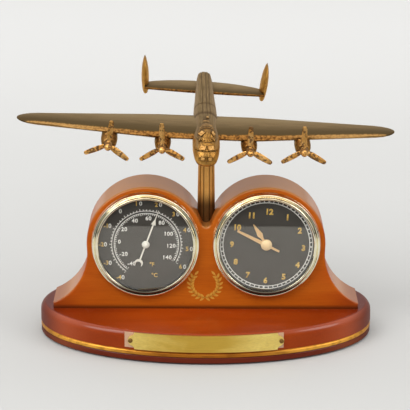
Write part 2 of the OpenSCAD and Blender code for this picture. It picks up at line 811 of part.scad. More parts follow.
// Strap behind the coil: it carries the arbor's rear end and the coil's outer end
module coil_bracket() {
    color("silver")
    at_dial(-1) difference() {
        union() {
            translate([-anchor_x - 1.6, -2, bridge_z - 0.6]) cube([2 * anchor_x + 3.2, 4, 0.6]);
            for (s = [-1, 1]) translate([s * (anchor_x + 0.9) - 0.6, -2, bridge_z - 0.6])
                cube([1.2, 4, ledge_z - fit_gap - bridge_z + 0.6]);
        }
        translate([0, 0, bridge_z - 1]) cylinder(r = pointer_arbor_r + run_gap, h = 2);
    }
}

// Post and what ties it down

valley_z = base_top + dial_height + valley_h;
post_z0 = valley_z - mortise_dep;
air_o = [-0.2, face_y - air_forward, base_top + air_h];
post_run = (-case_forward - air_o[1]) / cos(air_pitch);
belly_z = air_o[2] + post_run * sin(air_pitch) - 7.6 * cos(air_pitch);
post_z1 = belly_z + 1.4;
rod_z1 = post_z1 + 6;

// Flat oval of width w, grown by g
module post_plan(w, g) {
    r = post_t / 2 + g;
    hull() for (s = [-1, 1]) translate([s * (w / 2 - post_t / 2 - g), 0]) circle(r = r, $fn = 32);
}

module post() {
    color(bronze)
    translate([0, -case_forward, 0]) difference() {
        hull() {
            translate([0, 0, post_z0]) linear_extrude(0.1) post_plan(post_foot_w, 0);
            translate([0, 0, post_z1 - 0.1]) linear_extrude(0.1) post_plan(post_top_w, 0);
        }
        translate([0, 0, post_z0 - 1]) cylinder(d = rod_d + 0.3, h = post_z1 - post_z0 + 2);
    }
}

rod_z0 = felt_t + nut_well_dep - washer_t - nut_t - 1.5;

module tie_rod() {
    color("silver")
    translate([0, -case_forward, rod_z0]) cylinder(d = rod_d, h = rod_z1 - rod_z0);
}

module tie_washer() {
    color("silver")
    translate([0, -case_forward, felt_t + nut_well_dep - washer_t]) difference() {
        cylinder(d = washer_d, h = washer_t);
        translate([0, 0, -1]) cylinder(d = rod_d + 0.3, h = washer_t + 2);
    }
}

module tie_nut() {
    color("silver")
    translate([0, -case_forward, felt_t + nut_well_dep - washer_t - nut_t]) difference() {
        cylinder(d = nut_af * 2 / sqrt(3), h = nut_t, $fn = 6);
        translate([0, 0, -1]) cylinder(d = rod_d + 2 * fit_gap, h = nut_t + 2);
    }
}

// Aircraft. Its frame has its origin between the propellers, +Y towards the tail and +Z up.

module in_air() {
    translate(air_o) rotate([air_pitch, air_roll, air_yaw]) children();
}

// A distance behind the propellers, where the stretch behind the wings' middle follows the tail's end
run_y0 = 30;
function aft(share) = run_y0 + (tail_run - run_y0) * share;

// Fuselage stations: distance behind the propellers, top, bottom, half width
stations = [
    [-15.4, -1.4, -5.4, 2.8], [-14.6, 0.6, -6.8, 4.8], [-12.6, 2.6, -7.6, 6.4], [-9, 5.2, -7.9, 7.2],
    [-5, 7.2, -7.9, 7.7], [0, 8.2, -7.9, 8], [8, 8.6, -7.9, 8], [18, 8.6, -7.8, 7.9],
    [aft(0), 8.4, -7.6, 7.8], [aft(0.17), 8.2, -7, 7.4], [aft(0.37), 8.3, -5.6, 6.9],
    [aft(0.57), 8.8, -3.6, 6.1], [aft(0.77), 9.6, -1, 5.4], [aft(0.9), 10.4, 1.2, 4.8],
    [aft(0.966), 10.5, 2.8, 4.2], [aft(1), 9.6, 4.4, 2.7]
];
body_sides = 28;

// Rounded-square section through one station
function body_ring(s) =
    let (cz = (s[1] + s[2]) / 2, hh = (s[1] - s[2]) / 2)
    [for (i = [0:body_sides - 1]) let (a = i * 360 / body_sides, c = cos(a), q = sin(a))
        [s[3] * sign(c) * abs(c) ^ 0.8, s[0], cz + hh * sign(q) * abs(q) ^ 0.85]];

module body_form() {
    skin([for (s = stations) body_ring(s)]);
}

// Stretch of the fuselage beside the wings
module body_middle() {
    skin([for (i = [4:10]) body_ring(stations[i])]);
}

module fuselage() {
    color(bronze)
    difference() {
        union() {
            in_air() body_form();
            in_air() canopy();
        }
        tail_form();
        translate([0, -case_forward, belly_z - 6]) linear_extrude(post_z1 - belly_z + 6)
            post_plan(post_top_w + 0.4 + 2 * fit_gap, fit_gap);
        translate([0, -case_forward, post_z1 - 1])
            cylinder(d = rod_d + 2 * fit_gap, h = rod_z1 - post_z1 + 1.4);
    }
}

// Glazed cockpit and the dorsal blister behind it, as raised forms of the casting
module canopy() {
    skin([for (p = [[-7, 3.4, 5.2, 1.6], [-4, 4.6, 5.6, 5.2], [0, 5, 6, 6.6], [6, 5, 6, 6.8],
        [14, 4.2, 5.6, 4.6], [18, 3, 5, 2.4]])
        [for (i = [0:15]) let (a = i * 22.5) [p[1] * cos(a), p[0], p[2] + p[3] * sin(a) * 0.75]]]);
}

// Wing sections: distance from the middle, leading edge, chord, height, thickness over chord
tip_x = wing_span / 2;
wing_z = 3.1;
wing_lift = 3.1;
wing_le = 6.5;
wing_tip_le = 14;
wing_full = 0.95;
rise_x = inner_x + 2;
tip_round = 12;

function wing_share(x) = max(0, (x - rise_x) / (tip_x - rise_x));
function wing_round(x) =
    x < tip_x - tip_round ? 1 : max(0.012, 1 - ((x - tip_x + tip_round) / tip_round) ^ 2) ^ 0.42;
function wing_c(x) = wing_chord + (wing_tip_chord - wing_chord) * wing_share(x);
// Half thickness of a wing section at share u of its chord
function foil(u) = 0.2969 * sqrt(u) - 0.126 * u - 0.3516 * u ^ 2 + 0.2843 * u ^ 3 - 0.0936 * u ^ 4;
function wing_section(x) =
    let (full = wing_c(x), c = full * wing_round(x), le = wing_le + (wing_tip_le - wing_le) * wing_share(x)
        + (full - c) * 0.55, z = wing_z + wing_lift * wing_share(x))
    [for (i = [0:15]) let (a = (i + 0.5) * 22.5, u = (1 - cos(a)) / 2)
        [x, le + c * u, z + (sin(a) > 0 ? 1 : -0.8) * wing_full * c * foil(u)]];

wing_xs = concat([3, rise_x], [for (i = [1:4]) rise_x + (tip_x - tip_round - rise_x) * i / 4],
    [for (u = [0.4, 0.7, 0.88, 0.97, 1]) tip_x - tip_round * (1 - u)]);

// Nacelle rings: distance behind the propeller, half width, half height, rise of the centre
nacelle_y = prop_hub_t / 2 + 0.4;
function nacelle(length) = [
    [nacelle_y, 2.7, 2.7, 0], [nacelle_y + 1, 3.7, 3.6, -0.1], [5.5, 4.6, 4.4, 0], [10, 4.9, 4.7, 0.5],
    [0.45 * length + 4, 4.6, 4.4, 1.4], [0.8 * length + 2, 3.2, 3, 2.6], [length, 1, 1.2, 4]
];

// Heights of the engines from starboard to port; the casting isn't quite true
engine_zs = [-1.15, -1.7, -1.65, -0.3];
function engine_z(x) = engine_zs[(x < 0 ? 0 : 2) + (x < -inner_x || (x > 0 && x <= inner_x) ? 0 : 1)];

module engine(side, x, length) {
    translate([x - 0.4, 0, engine_z(side * x)])
    skin([for (p = nacelle(length)) [for (i = [0:15]) let (a = i * 22.5)
        [p[1] * cos(a), p[0], p[3] + p[2] * sin(a)]]]);
}

// One wing with its two engines, as a half of the aircraft; side is 1 or -1
module wing(side) {
    difference() {
        in_air() mirror([side < 0 ? 1 : 0, 0, 0]) union() {
            skin([for (x = wing_xs) wing_section(x)]);
            engine(side, inner_x, inner_nacelle);
            engine(side, outer_x, outer_nacelle);
        }
        in_air() body_middle();
        for (x = [inner_x, outer_x]) at_engine(side * x) translate([0, 0, -prop_pin_len - 0.4])
            cylinder(d = prop_pin_d + 2 * fit_gap, h = 2 * prop_pin_len, $fn = 24);
    }
}

module port_wing() { color(bronze) wing(1); }
module starboard_wing() { color(bronze) wing(-1); }

// Tail

tail_z = 3.1;
tail_chord = 24;
tail_y = tail_run - tail_chord;
tail_full = 0.66;
tail_twist = 1.7;
fin_y = tail_y + 13;
fin_z = 8.8;
fin_t = 4.8;
fin_chord = 19;

// The whole tail is set a little askew on the fuselage
module in_tail() {
    in_air() rotate([0, tail_twist, 0]) children();
}

function tail_section(x) =
    let (s = abs(x) / (tail_span / 2), c = tail_chord * (1 - 0.42 * s ^ 2.4), le = tail_y + 1.2 * s ^ 1.5)
    [for (i = [0:11]) let (a = (i + 0.5) * 30, u = (1 - cos(a)) / 2)
        [x, le + c * u, tail_z + (sin(a) > 0 ? 1 : -1) * tail_full * c * foil(u)]];

module tail_form() {
    in_tail() skin([for (i = [-5:5]) tail_section(i * tail_span / 10)]);
}

module tailplane() {
    color(bronze) tail_form();
}

// Oval fin with a pointed top and bottom, fullest below its middle; the tailplane's end is let into it
module fin(s) {
    rings = 10;
    low = 0.16;
    color(bronze)
    difference() {
        in_tail() translate([s * tail_span / 2, fin_y, fin_z]) rotate([0, s * fin_lean, 0])
        skin([for (k = [0:rings]) let (q = -cos(k * 180 / rings) * 0.998, c = sqrt(1 - q * q),
            full = (1 - ((q + low) / (1 + low)) ^ 2) ^ 0.75, half = fin_t / 2 * max(0.1, min(full, c ^ 0.6)))
            [for (i = [0:13]) let (a = -i * 360 / 14)
                [half * sin(a), fin_chord / 2 * c ^ 0.85 * cos(a), q * fin_h / 2]]]);
        tail_form();
    }
}

module port_fin() { fin(1); }
module starboard_fin() { fin(-1); }

// Propellers. +Z of this frame points forward along the propeller's axis, +Y up.

module at_engine(x) {
    in_air() translate([x, 0, engine_z(x)]) rotate([90, 0, 0]) children();
}

// Paddle blade along +Y: chord, thickness and twist change from root to tip
module blade() {
    root = prop_hub_d / 2 - 0.5;
    tip = prop_d / 2;
    shares = [0, 0.12, 0.3, 0.6, 0.8, 0.92, 0.98, 1];
    chords = [2.4, 3.2, 3.7, 3.5, 3, 2.7, 2.1, 1.1];
    thick = [1.5, 1.5, 1.3, 1.1, 0.9, 0.75, 0.6, 0.4];
    translate([0, 0, blade_z])
    skin([for (k = [0:len(shares) - 1]) let (y = root + (tip - root) * shares[k], w = 18 - 12 * shares[k])
        [for (i = [0:9]) let (a = i * 36, u = chords[k] / 2 * cos(a), v = thick[k] / 2 * sin(a))
            [u * cos(w) - v * sin(w), y, u * sin(w) + v * cos(w)]]]);
}
blade_z = 0.9 - prop_hub_t / 2;

module propeller(x, lean) {
    color(bronze)
    at_engine(x) rotate(lean) {
        difference() {
            translate([0, 0, -prop_hub_t / 2]) cylinder(d = prop_hub_d, h = prop_hub_t);
            translate([0, 0, -prop_hub_t]) cylinder(d = prop_pin_d + 2 * run_gap, h = 2 * prop_hub_t);
        }
        for (a = [0, 120, 240]) rotate(a) blade();
    }
}

// Pins with long rounded heads, which stand for the spinners
module propeller_pins() {
    head_r = prop_pin_head_d / 2;
    color(gilt)
    for (x = [-outer_x, -inner_x, inner_x, outer_x]) at_engine(x) {
        translate([0, 0, -prop_pin_len])
            cylinder(d = prop_pin_d, h = prop_pin_len + prop_hub_t / 2 + 0.3, $fn = 24);
        translate([0, 0, prop_hub_t / 2 + 0.15]) rotate_extrude()
            polygon(concat([[0, 0], [head_r - 0.4, 0], [head_r, 0.4]],
                arc([0, prop_pin_head_len - head_r], head_r, 0, 90, 8)));
    }
}

base_plinth();
base_felt();
name_plate();
plate_pins();
plate_tape();
case_block();
case_screws();
clock_bezel();
clock_lens();
clock_dial();
clock_can();
clock_band();
quartz_movement();
button_cell();
battery_cover();
minute_arbor();
minute_wheel();
hour_wheel();
setting_knob();
minute_hand();
hour_hand();
hand_cap();
thermometer_bezel();
thermometer_lens();
thermometer_dial();
thermometer_can();
thermometer_band();
bimetal_coil();
coil_bracket();
pointer_arbor();
pointer();
pointer_cap();
post();
tie_rod();
tie_washer();
tie_nut();
fuselage();
port_wing();
starboard_wing();
tailplane();
port_fin();
starboard_fin();
propeller(-outer_x, -7);  // propeller_1
propeller(-inner_x, 2.5);  // propeller_2
propeller(inner_x, 0.8);  // propeller_3
propeller(outer_x, 1.5);  // propeller_4
propeller_pins();
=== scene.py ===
import bpy, json, math
from mathutils import Matrix, Vector
from mathutils.bvhtree import BVHTree


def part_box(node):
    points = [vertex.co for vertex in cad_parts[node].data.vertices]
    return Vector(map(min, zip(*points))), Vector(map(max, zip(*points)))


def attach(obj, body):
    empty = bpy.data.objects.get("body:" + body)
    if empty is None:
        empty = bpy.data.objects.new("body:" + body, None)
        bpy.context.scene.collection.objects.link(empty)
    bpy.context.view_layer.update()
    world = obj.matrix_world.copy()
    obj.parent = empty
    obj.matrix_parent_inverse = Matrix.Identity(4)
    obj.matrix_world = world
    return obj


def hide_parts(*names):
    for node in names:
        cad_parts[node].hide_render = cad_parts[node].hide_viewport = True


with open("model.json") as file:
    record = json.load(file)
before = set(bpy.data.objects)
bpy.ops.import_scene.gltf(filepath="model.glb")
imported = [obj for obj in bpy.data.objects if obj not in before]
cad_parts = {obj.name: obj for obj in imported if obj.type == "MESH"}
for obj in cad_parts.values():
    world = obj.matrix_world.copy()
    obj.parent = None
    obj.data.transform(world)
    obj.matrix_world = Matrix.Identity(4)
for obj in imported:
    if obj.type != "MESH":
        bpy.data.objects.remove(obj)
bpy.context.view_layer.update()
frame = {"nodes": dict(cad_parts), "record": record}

bpy.context.preferences.edit.use_global_undo = False
mm = 0.001
hair = 0.001               # in millimetres: corners nearer than this lie in one place
flat = 0.2                 # in degrees: faces that bend less than this are one face


def nodeBox(node):
    # Lowest and highest corner of a CAD node, in millimetres
    return [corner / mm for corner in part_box(node)]


# Places that several pieces share, in millimetres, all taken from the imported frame
caseLow = nodeBox("case_block")[0]
bezelLow, bezelHigh = nodeBox("clock_bezel")
faceY = caseLow.y                                  # front of the case
baseTop = caseLow.z
dialX = (bezelLow.x + bezelHigh.x) / 2             # the clock's; the thermometer's lies at -dialX
dialZ = (bezelLow.z + bezelHigh.z) / 2
bezelReach = (bezelHigh.x - bezelLow.x) / 2
dialFront = nodeBox("clock_dial")[0].y


# Selecting and finishing pieces. They are drawn in millimetres and brought to metres at the end.

def clearSelection():
    if bpy.context.object and bpy.context.object.mode != "OBJECT":
        bpy.ops.object.mode_set(mode="OBJECT")
    bpy.ops.object.select_all(action="DESELECT")


def pick(piece):
    clearSelection()
    piece.select_set(True)
    bpy.context.view_layer.objects.active = piece


def settle(piece):
    # Turn, place and size go into the mesh
    pick(piece)
    bpy.ops.object.transform_apply(location=True, rotation=True, scale=True)


def setTo(piece, place):
    # The same for a whole matrix
    pick(piece)
    piece.matrix_world = place
    settle(piece)


def toMesh(piece):
    pick(piece)
    bpy.ops.object.convert(target="MESH")
    return bpy.context.active_object


def join(pieces):
    clearSelection()
    for piece in pieces:
        piece.select_set(True)
    bpy.context.view_layer.objects.active = pieces[0]
    bpy.ops.object.join()
    return bpy.context.active_object


def editMode(piece, kind="FACE"):
    pick(piece)
    bpy.ops.object.mode_set(mode="EDIT")
    bpy.ops.mesh.select_mode(type=kind)


def closeUp(piece):
    # Merges doubles and turns all faces outwards
    editMode(piece, "VERT")
    bpy.ops.mesh.select_all(action="SELECT")
    bpy.ops.mesh.remove_doubles(threshold=hair / 10)
    bpy.ops.mesh.normals_make_consistent(inside=False)
    bpy.ops.object.mode_set(mode="OBJECT")


def choose(piece, test, kind="FACE"):
    # Edit mode with only those faces, edges or corners selected that pass the test
    editMode(piece, kind)
    bpy.ops.mesh.select_all(action="DESELECT")
    bpy.ops.object.mode_set(mode="OBJECT")
    for item in {"VERT": piece.data.vertices, "EDGE": piece.data.edges, "FACE": piece.data.polygons}[kind]:
        item.select = test(item)
    bpy.ops.object.mode_set(mode="EDIT")


def cutAcross(piece, way, places):
    # New corners all round the piece, in planes that cross the x, y or z axis at the places given
    axis = Vector([float(letter == way) for letter in "xyz"])
    for place in places:
        editMode(piece)
        bpy.ops.mesh.select_all(action="SELECT")
        bpy.ops.mesh.bisect(plane_co=axis * place, plane_no=axis)
    bpy.ops.object.mode_set(mode="OBJECT")


def modify(piece, kind, **settings):
    pick(piece)
    modifier = piece.modifiers.new(kind, kind)
    for name, value in settings.items():
        setattr(modifier, name, value)
    bpy.ops.object.modifier_apply(modifier=modifier.name)


def smooth(piece, angle):
    # Round faces run into each other and large flat ones stay flat
    pick(piece)
    bpy.ops.object.shade_smooth_by_angle(angle=math.radians(angle))
    modify(piece, "WEIGHTED_NORMAL", keep_sharp=True, weight=80)


def mark(piece, test, share=1.0, kind="dirt"):
    # Painted shade on the corners that pass the test, or another mark that a material reads
    pick(piece)
    marks = piece.data.attributes.get(kind) or piece.data.attributes.new(kind, "FLOAT", "POINT")
    for v in piece.data.vertices:
        if test(v):
            marks.data[v.index].value = share


def finish(piece, name, body, material, replaced=()):
    # Brings the piece to metres, names and paints it and puts it on its body
    piece.scale = [mm * s for s in piece.scale]
    piece.location = [mm * v for v in piece.location]
    settle(piece)
    piece.name = piece.data.name = name
    piece.data.materials.clear()
    piece.data.materials.append(material)
    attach(piece, body)
    if replaced:
        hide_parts(*replaced)
    return piece


def another(piece, spot, turn):
    # A copy with its own mesh, turned clockwise as seen from the front and moved
    pick(piece)
    bpy.ops.object.duplicate()
    made = bpy.context.active_object
    made.location, made.rotation_euler = spot, (0, 0, -math.radians(turn))
    settle(made)
    return made


def nodeCopy(node):
    # A CAD node's own shape in millimetres with its doubles merged
    pick(frame["nodes"][node])
    bpy.ops.object.duplicate()
    piece = bpy.context.active_object
    piece.parent = None
    for key in list(piece.keys()):
        if key.startswith("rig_"):
            del piece[key]
    piece.scale = (1 / mm, 1 / mm, 1 / mm)
    settle(piece)
    editMode(piece, "VERT")
    bpy.ops.mesh.select_all(action="SELECT")
    bpy.ops.mesh.remove_doubles(threshold=hair)
    bpy.ops.mesh.dissolve_limited(angle_limit=math.radians(flat))
    bpy.ops.object.mode_set(mode="OBJECT")
    return piece


# Flat marks are drawn round the origin, x to the right and y up, and then stood on a dial or on the case

printSet = {
    "thick": 0.03,
    "sunk": 0.004,            # how far a mark reaches into the face that it stands on
}


def tick(inner, outer, wide):
    clearSelection()
    bpy.ops.mesh.primitive_plane_add(size=1, location=(0, (inner + outer) / 2, 0))
    made = bpy.context.active_object
    made.scale = (wide, outer - inner, 1)
    settle(made)
    return made


def fan(piece, count, step, start=0):
    # Copies round the origin, every step degrees clockwise from start
    clearSelection()
    bpy.ops.object.empty_add(rotation=(0, 0, -math.radians(step)))
    pivot = bpy.context.active_object
    bpy.context.view_layer.update()
    modify(piece, "ARRAY", count=count, use_relative_offset=False, use_object_offset=True,
           offset_object=pivot)
    bpy.data.objects.remove(pivot)
    piece.rotation_euler.z = -math.radians(start)
    settle(piece)
    return piece


def ring(inner, outer, low=0, high=360, sides=180):
    # A flat ring, or its part from low to high degrees clockwise from the top
    clearSelection()
    bpy.ops.mesh.primitive_circle_add(vertices=sides, radius=inner)
    made = bpy.context.active_object
    editMode(made, "EDGE")
    bpy.ops.mesh.select_all(action="SELECT")
    bpy.ops.mesh.extrude_region_move()
    bpy.ops.transform.resize(value=(outer / inner, outer / inner, 1), center_override=(0, 0, 0))
    if high - low < 360:
        middle, half = math.radians((low + high) / 2), math.radians((high - low) / 2)
        way = Vector((math.sin(middle), math.cos(middle), 0))
        choose(made, lambda face: face.center.angle(way) > half)
        bpy.ops.mesh.delete(type="FACE")
    bpy.ops.object.mode_set(mode="OBJECT")
    return made


def letters(words, tall, spot, weight, apart=1.0):
    # Plain upright figures, centred on their place
    clearSelection()
    bpy.ops.object.text_add()
    made = bpy.context.active_object
    made.data.body, made.data.resolution_u = words, 3
    made.data.offset, made.data.space_character = weight, apart
    made = toMesh(made)
    corners = [v.co for v in made.data.vertices]
    low, high = (Vector([most(corner[i] for corner in corners) for i in range(3)]) for most in (min, max))
    size = tall / (high.y - low.y)
    made.scale = (size, size, 1)
    made.location = Vector(spot).to_3d() - (low + high) / 2 * size
    settle(made)
    return made


def onDial(radius, degrees):
    # A place at so many degrees clockwise from the top
    return radius * math.sin(math.radians(degrees)), radius * math.cos(math.radians(degrees))


def standUp(pieces, name, body, material, front, middle, turn=0):
    # Joins flat marks, gives them their thickness and stands them on a face that looks ahead
    made = join(pieces)
    closeUp(made)
    made.rotation_euler = (0, 0, -math.radians(turn))
    settle(made)
    choose(made, lambda face: face.normal.z < 0)
    bpy.ops.mesh.flip_normals()
    bpy.ops.object.mode_set(mode="OBJECT")
    modify(made, "SOLIDIFY", thickness=printSet["thick"], offset=1)
    made.rotation_euler = (math.radians(90), 0, 0)
    made.location = (middle[0], front + printSet["sunk"], middle[1])
    return finish(made, name, body, material)


# Shaders

def paint(*levels):
    # Red, green and blue as an image program gives them, 0 to 255
    levels = [v / 255 for v in levels]
    return tuple(v / 12.92 if v < 0.04045 else ((v + 0.055) / 1.055) ** 2.4 for v in levels) + (1,)


class Socket:
    # One output in a shader, so that sums on it read as sums
    def __init__(self, shader, link):
        self.shader, self.link = shader, link

    def math(self, operation, *values):
        return self.shader.node("Math", {"operation": operation}, dict(enumerate(values)))

    def __add__(self, other):
        return self.math("ADD", self, other)

    def __sub__(self, other):
        return self.math("SUBTRACT", self, other)

    def __rsub__(self, other):
        return self.math("SUBTRACT", other, self)

    def __mul__(self, other):
        return self.math("MULTIPLY", self, other)

    def __truediv__(self, other):
        return self.math("DIVIDE", self, other)

    def __pow__(self, other):
        return self.math("POWER", self, other)

    def __neg__(self):
        return self * -1

    def __abs__(self):
        return self.math("ABSOLUTE", self)

    __radd__, __rmul__ = __add__, __mul__

    def peak(self, other):
        return self.math("MAXIMUM", self, other)

    def ramp(self, low, high):
        # 0 below low, 1 above high, and a soft step between
        return self.shader.node("MapRange", {"interpolation_type": "SMOOTHSTEP"},
                                {"Value": self, "From Min": low, "From Max": high})

    def beyond(self, near, far):
        # 0 within near of the middle on both sides, 1 further out than far
        return (self * self).ramp(near ** 2, far ** 2)


class Shader:
    def __init__(self, name, store="materials", **fixed):
        self.material = getattr(bpy.data, store).new(name)
        self.material.use_nodes = True
        self.tree = self.material.node_tree
        self.surface = self.tree.nodes["Principled BSDF" if store == "materials" else "Background"]
        for key, value in fixed.items():
            self.surface.inputs[key.replace("_", " ")].default_value = value

    def node(self, kind, settings, sockets, out=0):
        made = self.tree.nodes.new("ShaderNode" + kind)
        for name, value in settings.items():
            setattr(made, name, value)
        for key, value in sockets.items():
            if isinstance(value, Socket):
                self.tree.links.new(value.link, made.inputs[key])
            else:
                made.inputs[key].default_value = value
        return Socket(self, made.outputs[out])

    def set(self, **sockets):
        for key, value in sockets.items():
            self.tree.links.new(value.link, self.surface.inputs[key.replace("_", " ")])

    def place(self, scale=(1, 1, 1)):
        # Object coordinates in millimetres, stretched
        spot = self.node("TexCoord", {}, {}, out="Object")
        return self.node("Mapping", {}, {"Vector": spot, "Scale": [s / mm for s in scale]})

    def axis(self, name, vector=None):
        return self.node("SeparateXYZ", {}, {0: vector or self.place()}, out="XYZ".index(name))

    def normal(self, name):
        # One part of the surface's direction on the object
        return self.axis(name, self.node("TexCoord", {}, {}, out="Normal"))

    def marked(self, kind):
        # A mark that the mesh's corners carry
        return self.node("Attribute", {"attribute_name": kind}, {}, out="Fac")

    def noise(self, size, detail=3, stretch=(1, 1, 1), rough=0.5, warp=0):
        # Soft spots of about size millimetres, drawn out along an axis where its stretch is below 1
        spot = self.place([s / size for s in stretch])
        return self.node("TexNoise", {}, {"Vector": spot, "Scale": 1, "Detail": detail, "Roughness": rough,
                                          "Distortion": warp})

    def blend(self, factor, first, second, kind="MIX"):
        # Sockets 6, 7 and 2 are the ones for colours
        return self.node("Mix", {"data_type": "RGBA", "blend_type": kind},
                         {0: factor, 6: first, 7: second}, out=2)

    def layers(self, colour, *coats):
        # Each coat has how much of it lies on the ones below, and its colour
        for share, above in coats:
            colour = self.blend(share, colour, above)
        return colour

    def bump(self, height, depth, strength):
        # Depth in millimetres for a height of 0 to 1
        return self.node("Bump", {}, {"Height": height, "Distance": depth * mm, "Strength": strength})


def caseWood():
    # Stained orange-brown wood under satin lacquer, paler on top in a painted sheen, darker towards its tips,
    # and with a painted shadow along its foot
    s = Shader("caseWood", Coat_Roughness=0.2, Specular_IOR_Level=0.08)
    x, z, up = s.axis("X"), s.axis("Z"), s.normal("Z")
    fine = s.noise(0.55, 4, (0.05, 1, 1), 0.6)
    broad = s.noise(14, 3, (0.22, 1, 1), 0.55, warp=0.4)
    pores = s.noise(0.28, 2, (0.07, 1, 1)).ramp(0.64, 0.72)
    tips = x.beyond(70, 90) * (1 - z.ramp(baseTop + 4, baseTop + 12))
    # Painted shadow along the foot, where the case stands on the base
    footShade = 1 - z.ramp(baseTop + 0.4, baseTop + 3.2)
    colour = s.layers(s.blend(x.beyond(30, 95), paint(168, 82, 12), paint(158, 64, 7)),
                      (broad.ramp(0.35, 0.7) * 0.35, paint(190, 102, 22)),
                      (fine.ramp(0.35, 0.75) * 0.22, paint(120, 46, 4)),
                      (pores * 0.2, paint(88, 34, 4)),
                      # Painted sheen: what faces up is painted paler
                      (up.ramp(0.2, 0.8) * 0.4, paint(184, 146, 84)),
                      (tips * 0.5, paint(104, 34, 5)),
                      (footShade * 0.85, paint(64, 21, 5)))
    s.set(Base_Color=colour, Roughness=0.4 + broad * 0.12, Coat_Weight=up.ramp(0.1, 0.7) * 0.6,
          Normal=s.bump(fine, 0.02, 0.35))
    return s.material


def baseWood():
    # Redder stained wood with a glossier top, dark tips, a gilt bead, a little dust, and a painted highlight
    # towards the ends of the rim and of the bead
    s = Shader("baseWood", Coat_Roughness=0.12, Specular_IOR_Level=0.1)
    x, z, up = s.axis("X"), s.axis("Z"), s.normal("Z")
    beadFoot, beadTop = baseTop - 14.1, baseTop - 11.0
    fine = s.noise(0.6, 4, (0.05, 1, 1), 0.6)
    broad = s.noise(16, 3, (0.2, 1, 1), 0.5, warp=0.3)
    top = up.ramp(0.86, 0.98)
    ends, tips = x.beyond(60, 100), x.beyond(80, 99)
    under = 1 - z.ramp(beadFoot - 0.1, beadFoot + 0.5)
    bead = z.ramp(beadFoot, beadFoot + 0.2) * (1 - z.ramp(beadTop - 0.2, beadTop))
    worn = s.noise(3, 3, (0.3, 1, 1)).ramp(0.45, 0.7) * 0.5
    dust = s.noise(0.5, 1).ramp(0.72, 0.78) * top
    board = s.blend(broad.ramp(0.35, 0.7), paint(156, 60, 6), paint(134, 46, 4))
    # The gilt is worn duller in the middle and has a painted highlight towards both ends
    gilt = s.blend(x.beyond(15, 60) * (1 - tips * 0.6), paint(164, 100, 28), paint(230, 168, 68))
    colour = s.layers(s.blend(broad.ramp(0.3, 0.7) * 0.5, paint(130, 45, 5), paint(146, 58, 10)),
                      # Painted highlight: the rim is painted paler towards its ends
                      (ends * (1 - top), paint(168, 82, 50)),
                      (under, s.blend(ends, paint(92, 32, 16), paint(136, 70, 38))),
                      (top, s.blend(x.beyond(20, 70) * 0.8, board, paint(112, 34, 3))),
                      (tips * 0.85, paint(74, 20, 8)),
                      (fine.ramp(0.4, 0.75) * 0.2, paint(84, 28, 6)),
                      (dust * 0.5, paint(214, 190, 170)),
                      (bead, s.blend(worn, gilt, paint(110, 60, 18))))
    gloss = (0.06 + up.ramp(0.15, 0.5) * (0.62 - top * 0.46)) * (0.3 + x.beyond(30, 60) * 0.7)
    s.set(Base_Color=colour, Metallic=bead * 0.7, Roughness=0.42 - top * 0.12 + dust * 0.3,
          Coat_Weight=gloss * (1 - bead) * (1 - tips * 0.85), Normal=s.bump(fine, 0.02, 0.3))
    return s.material


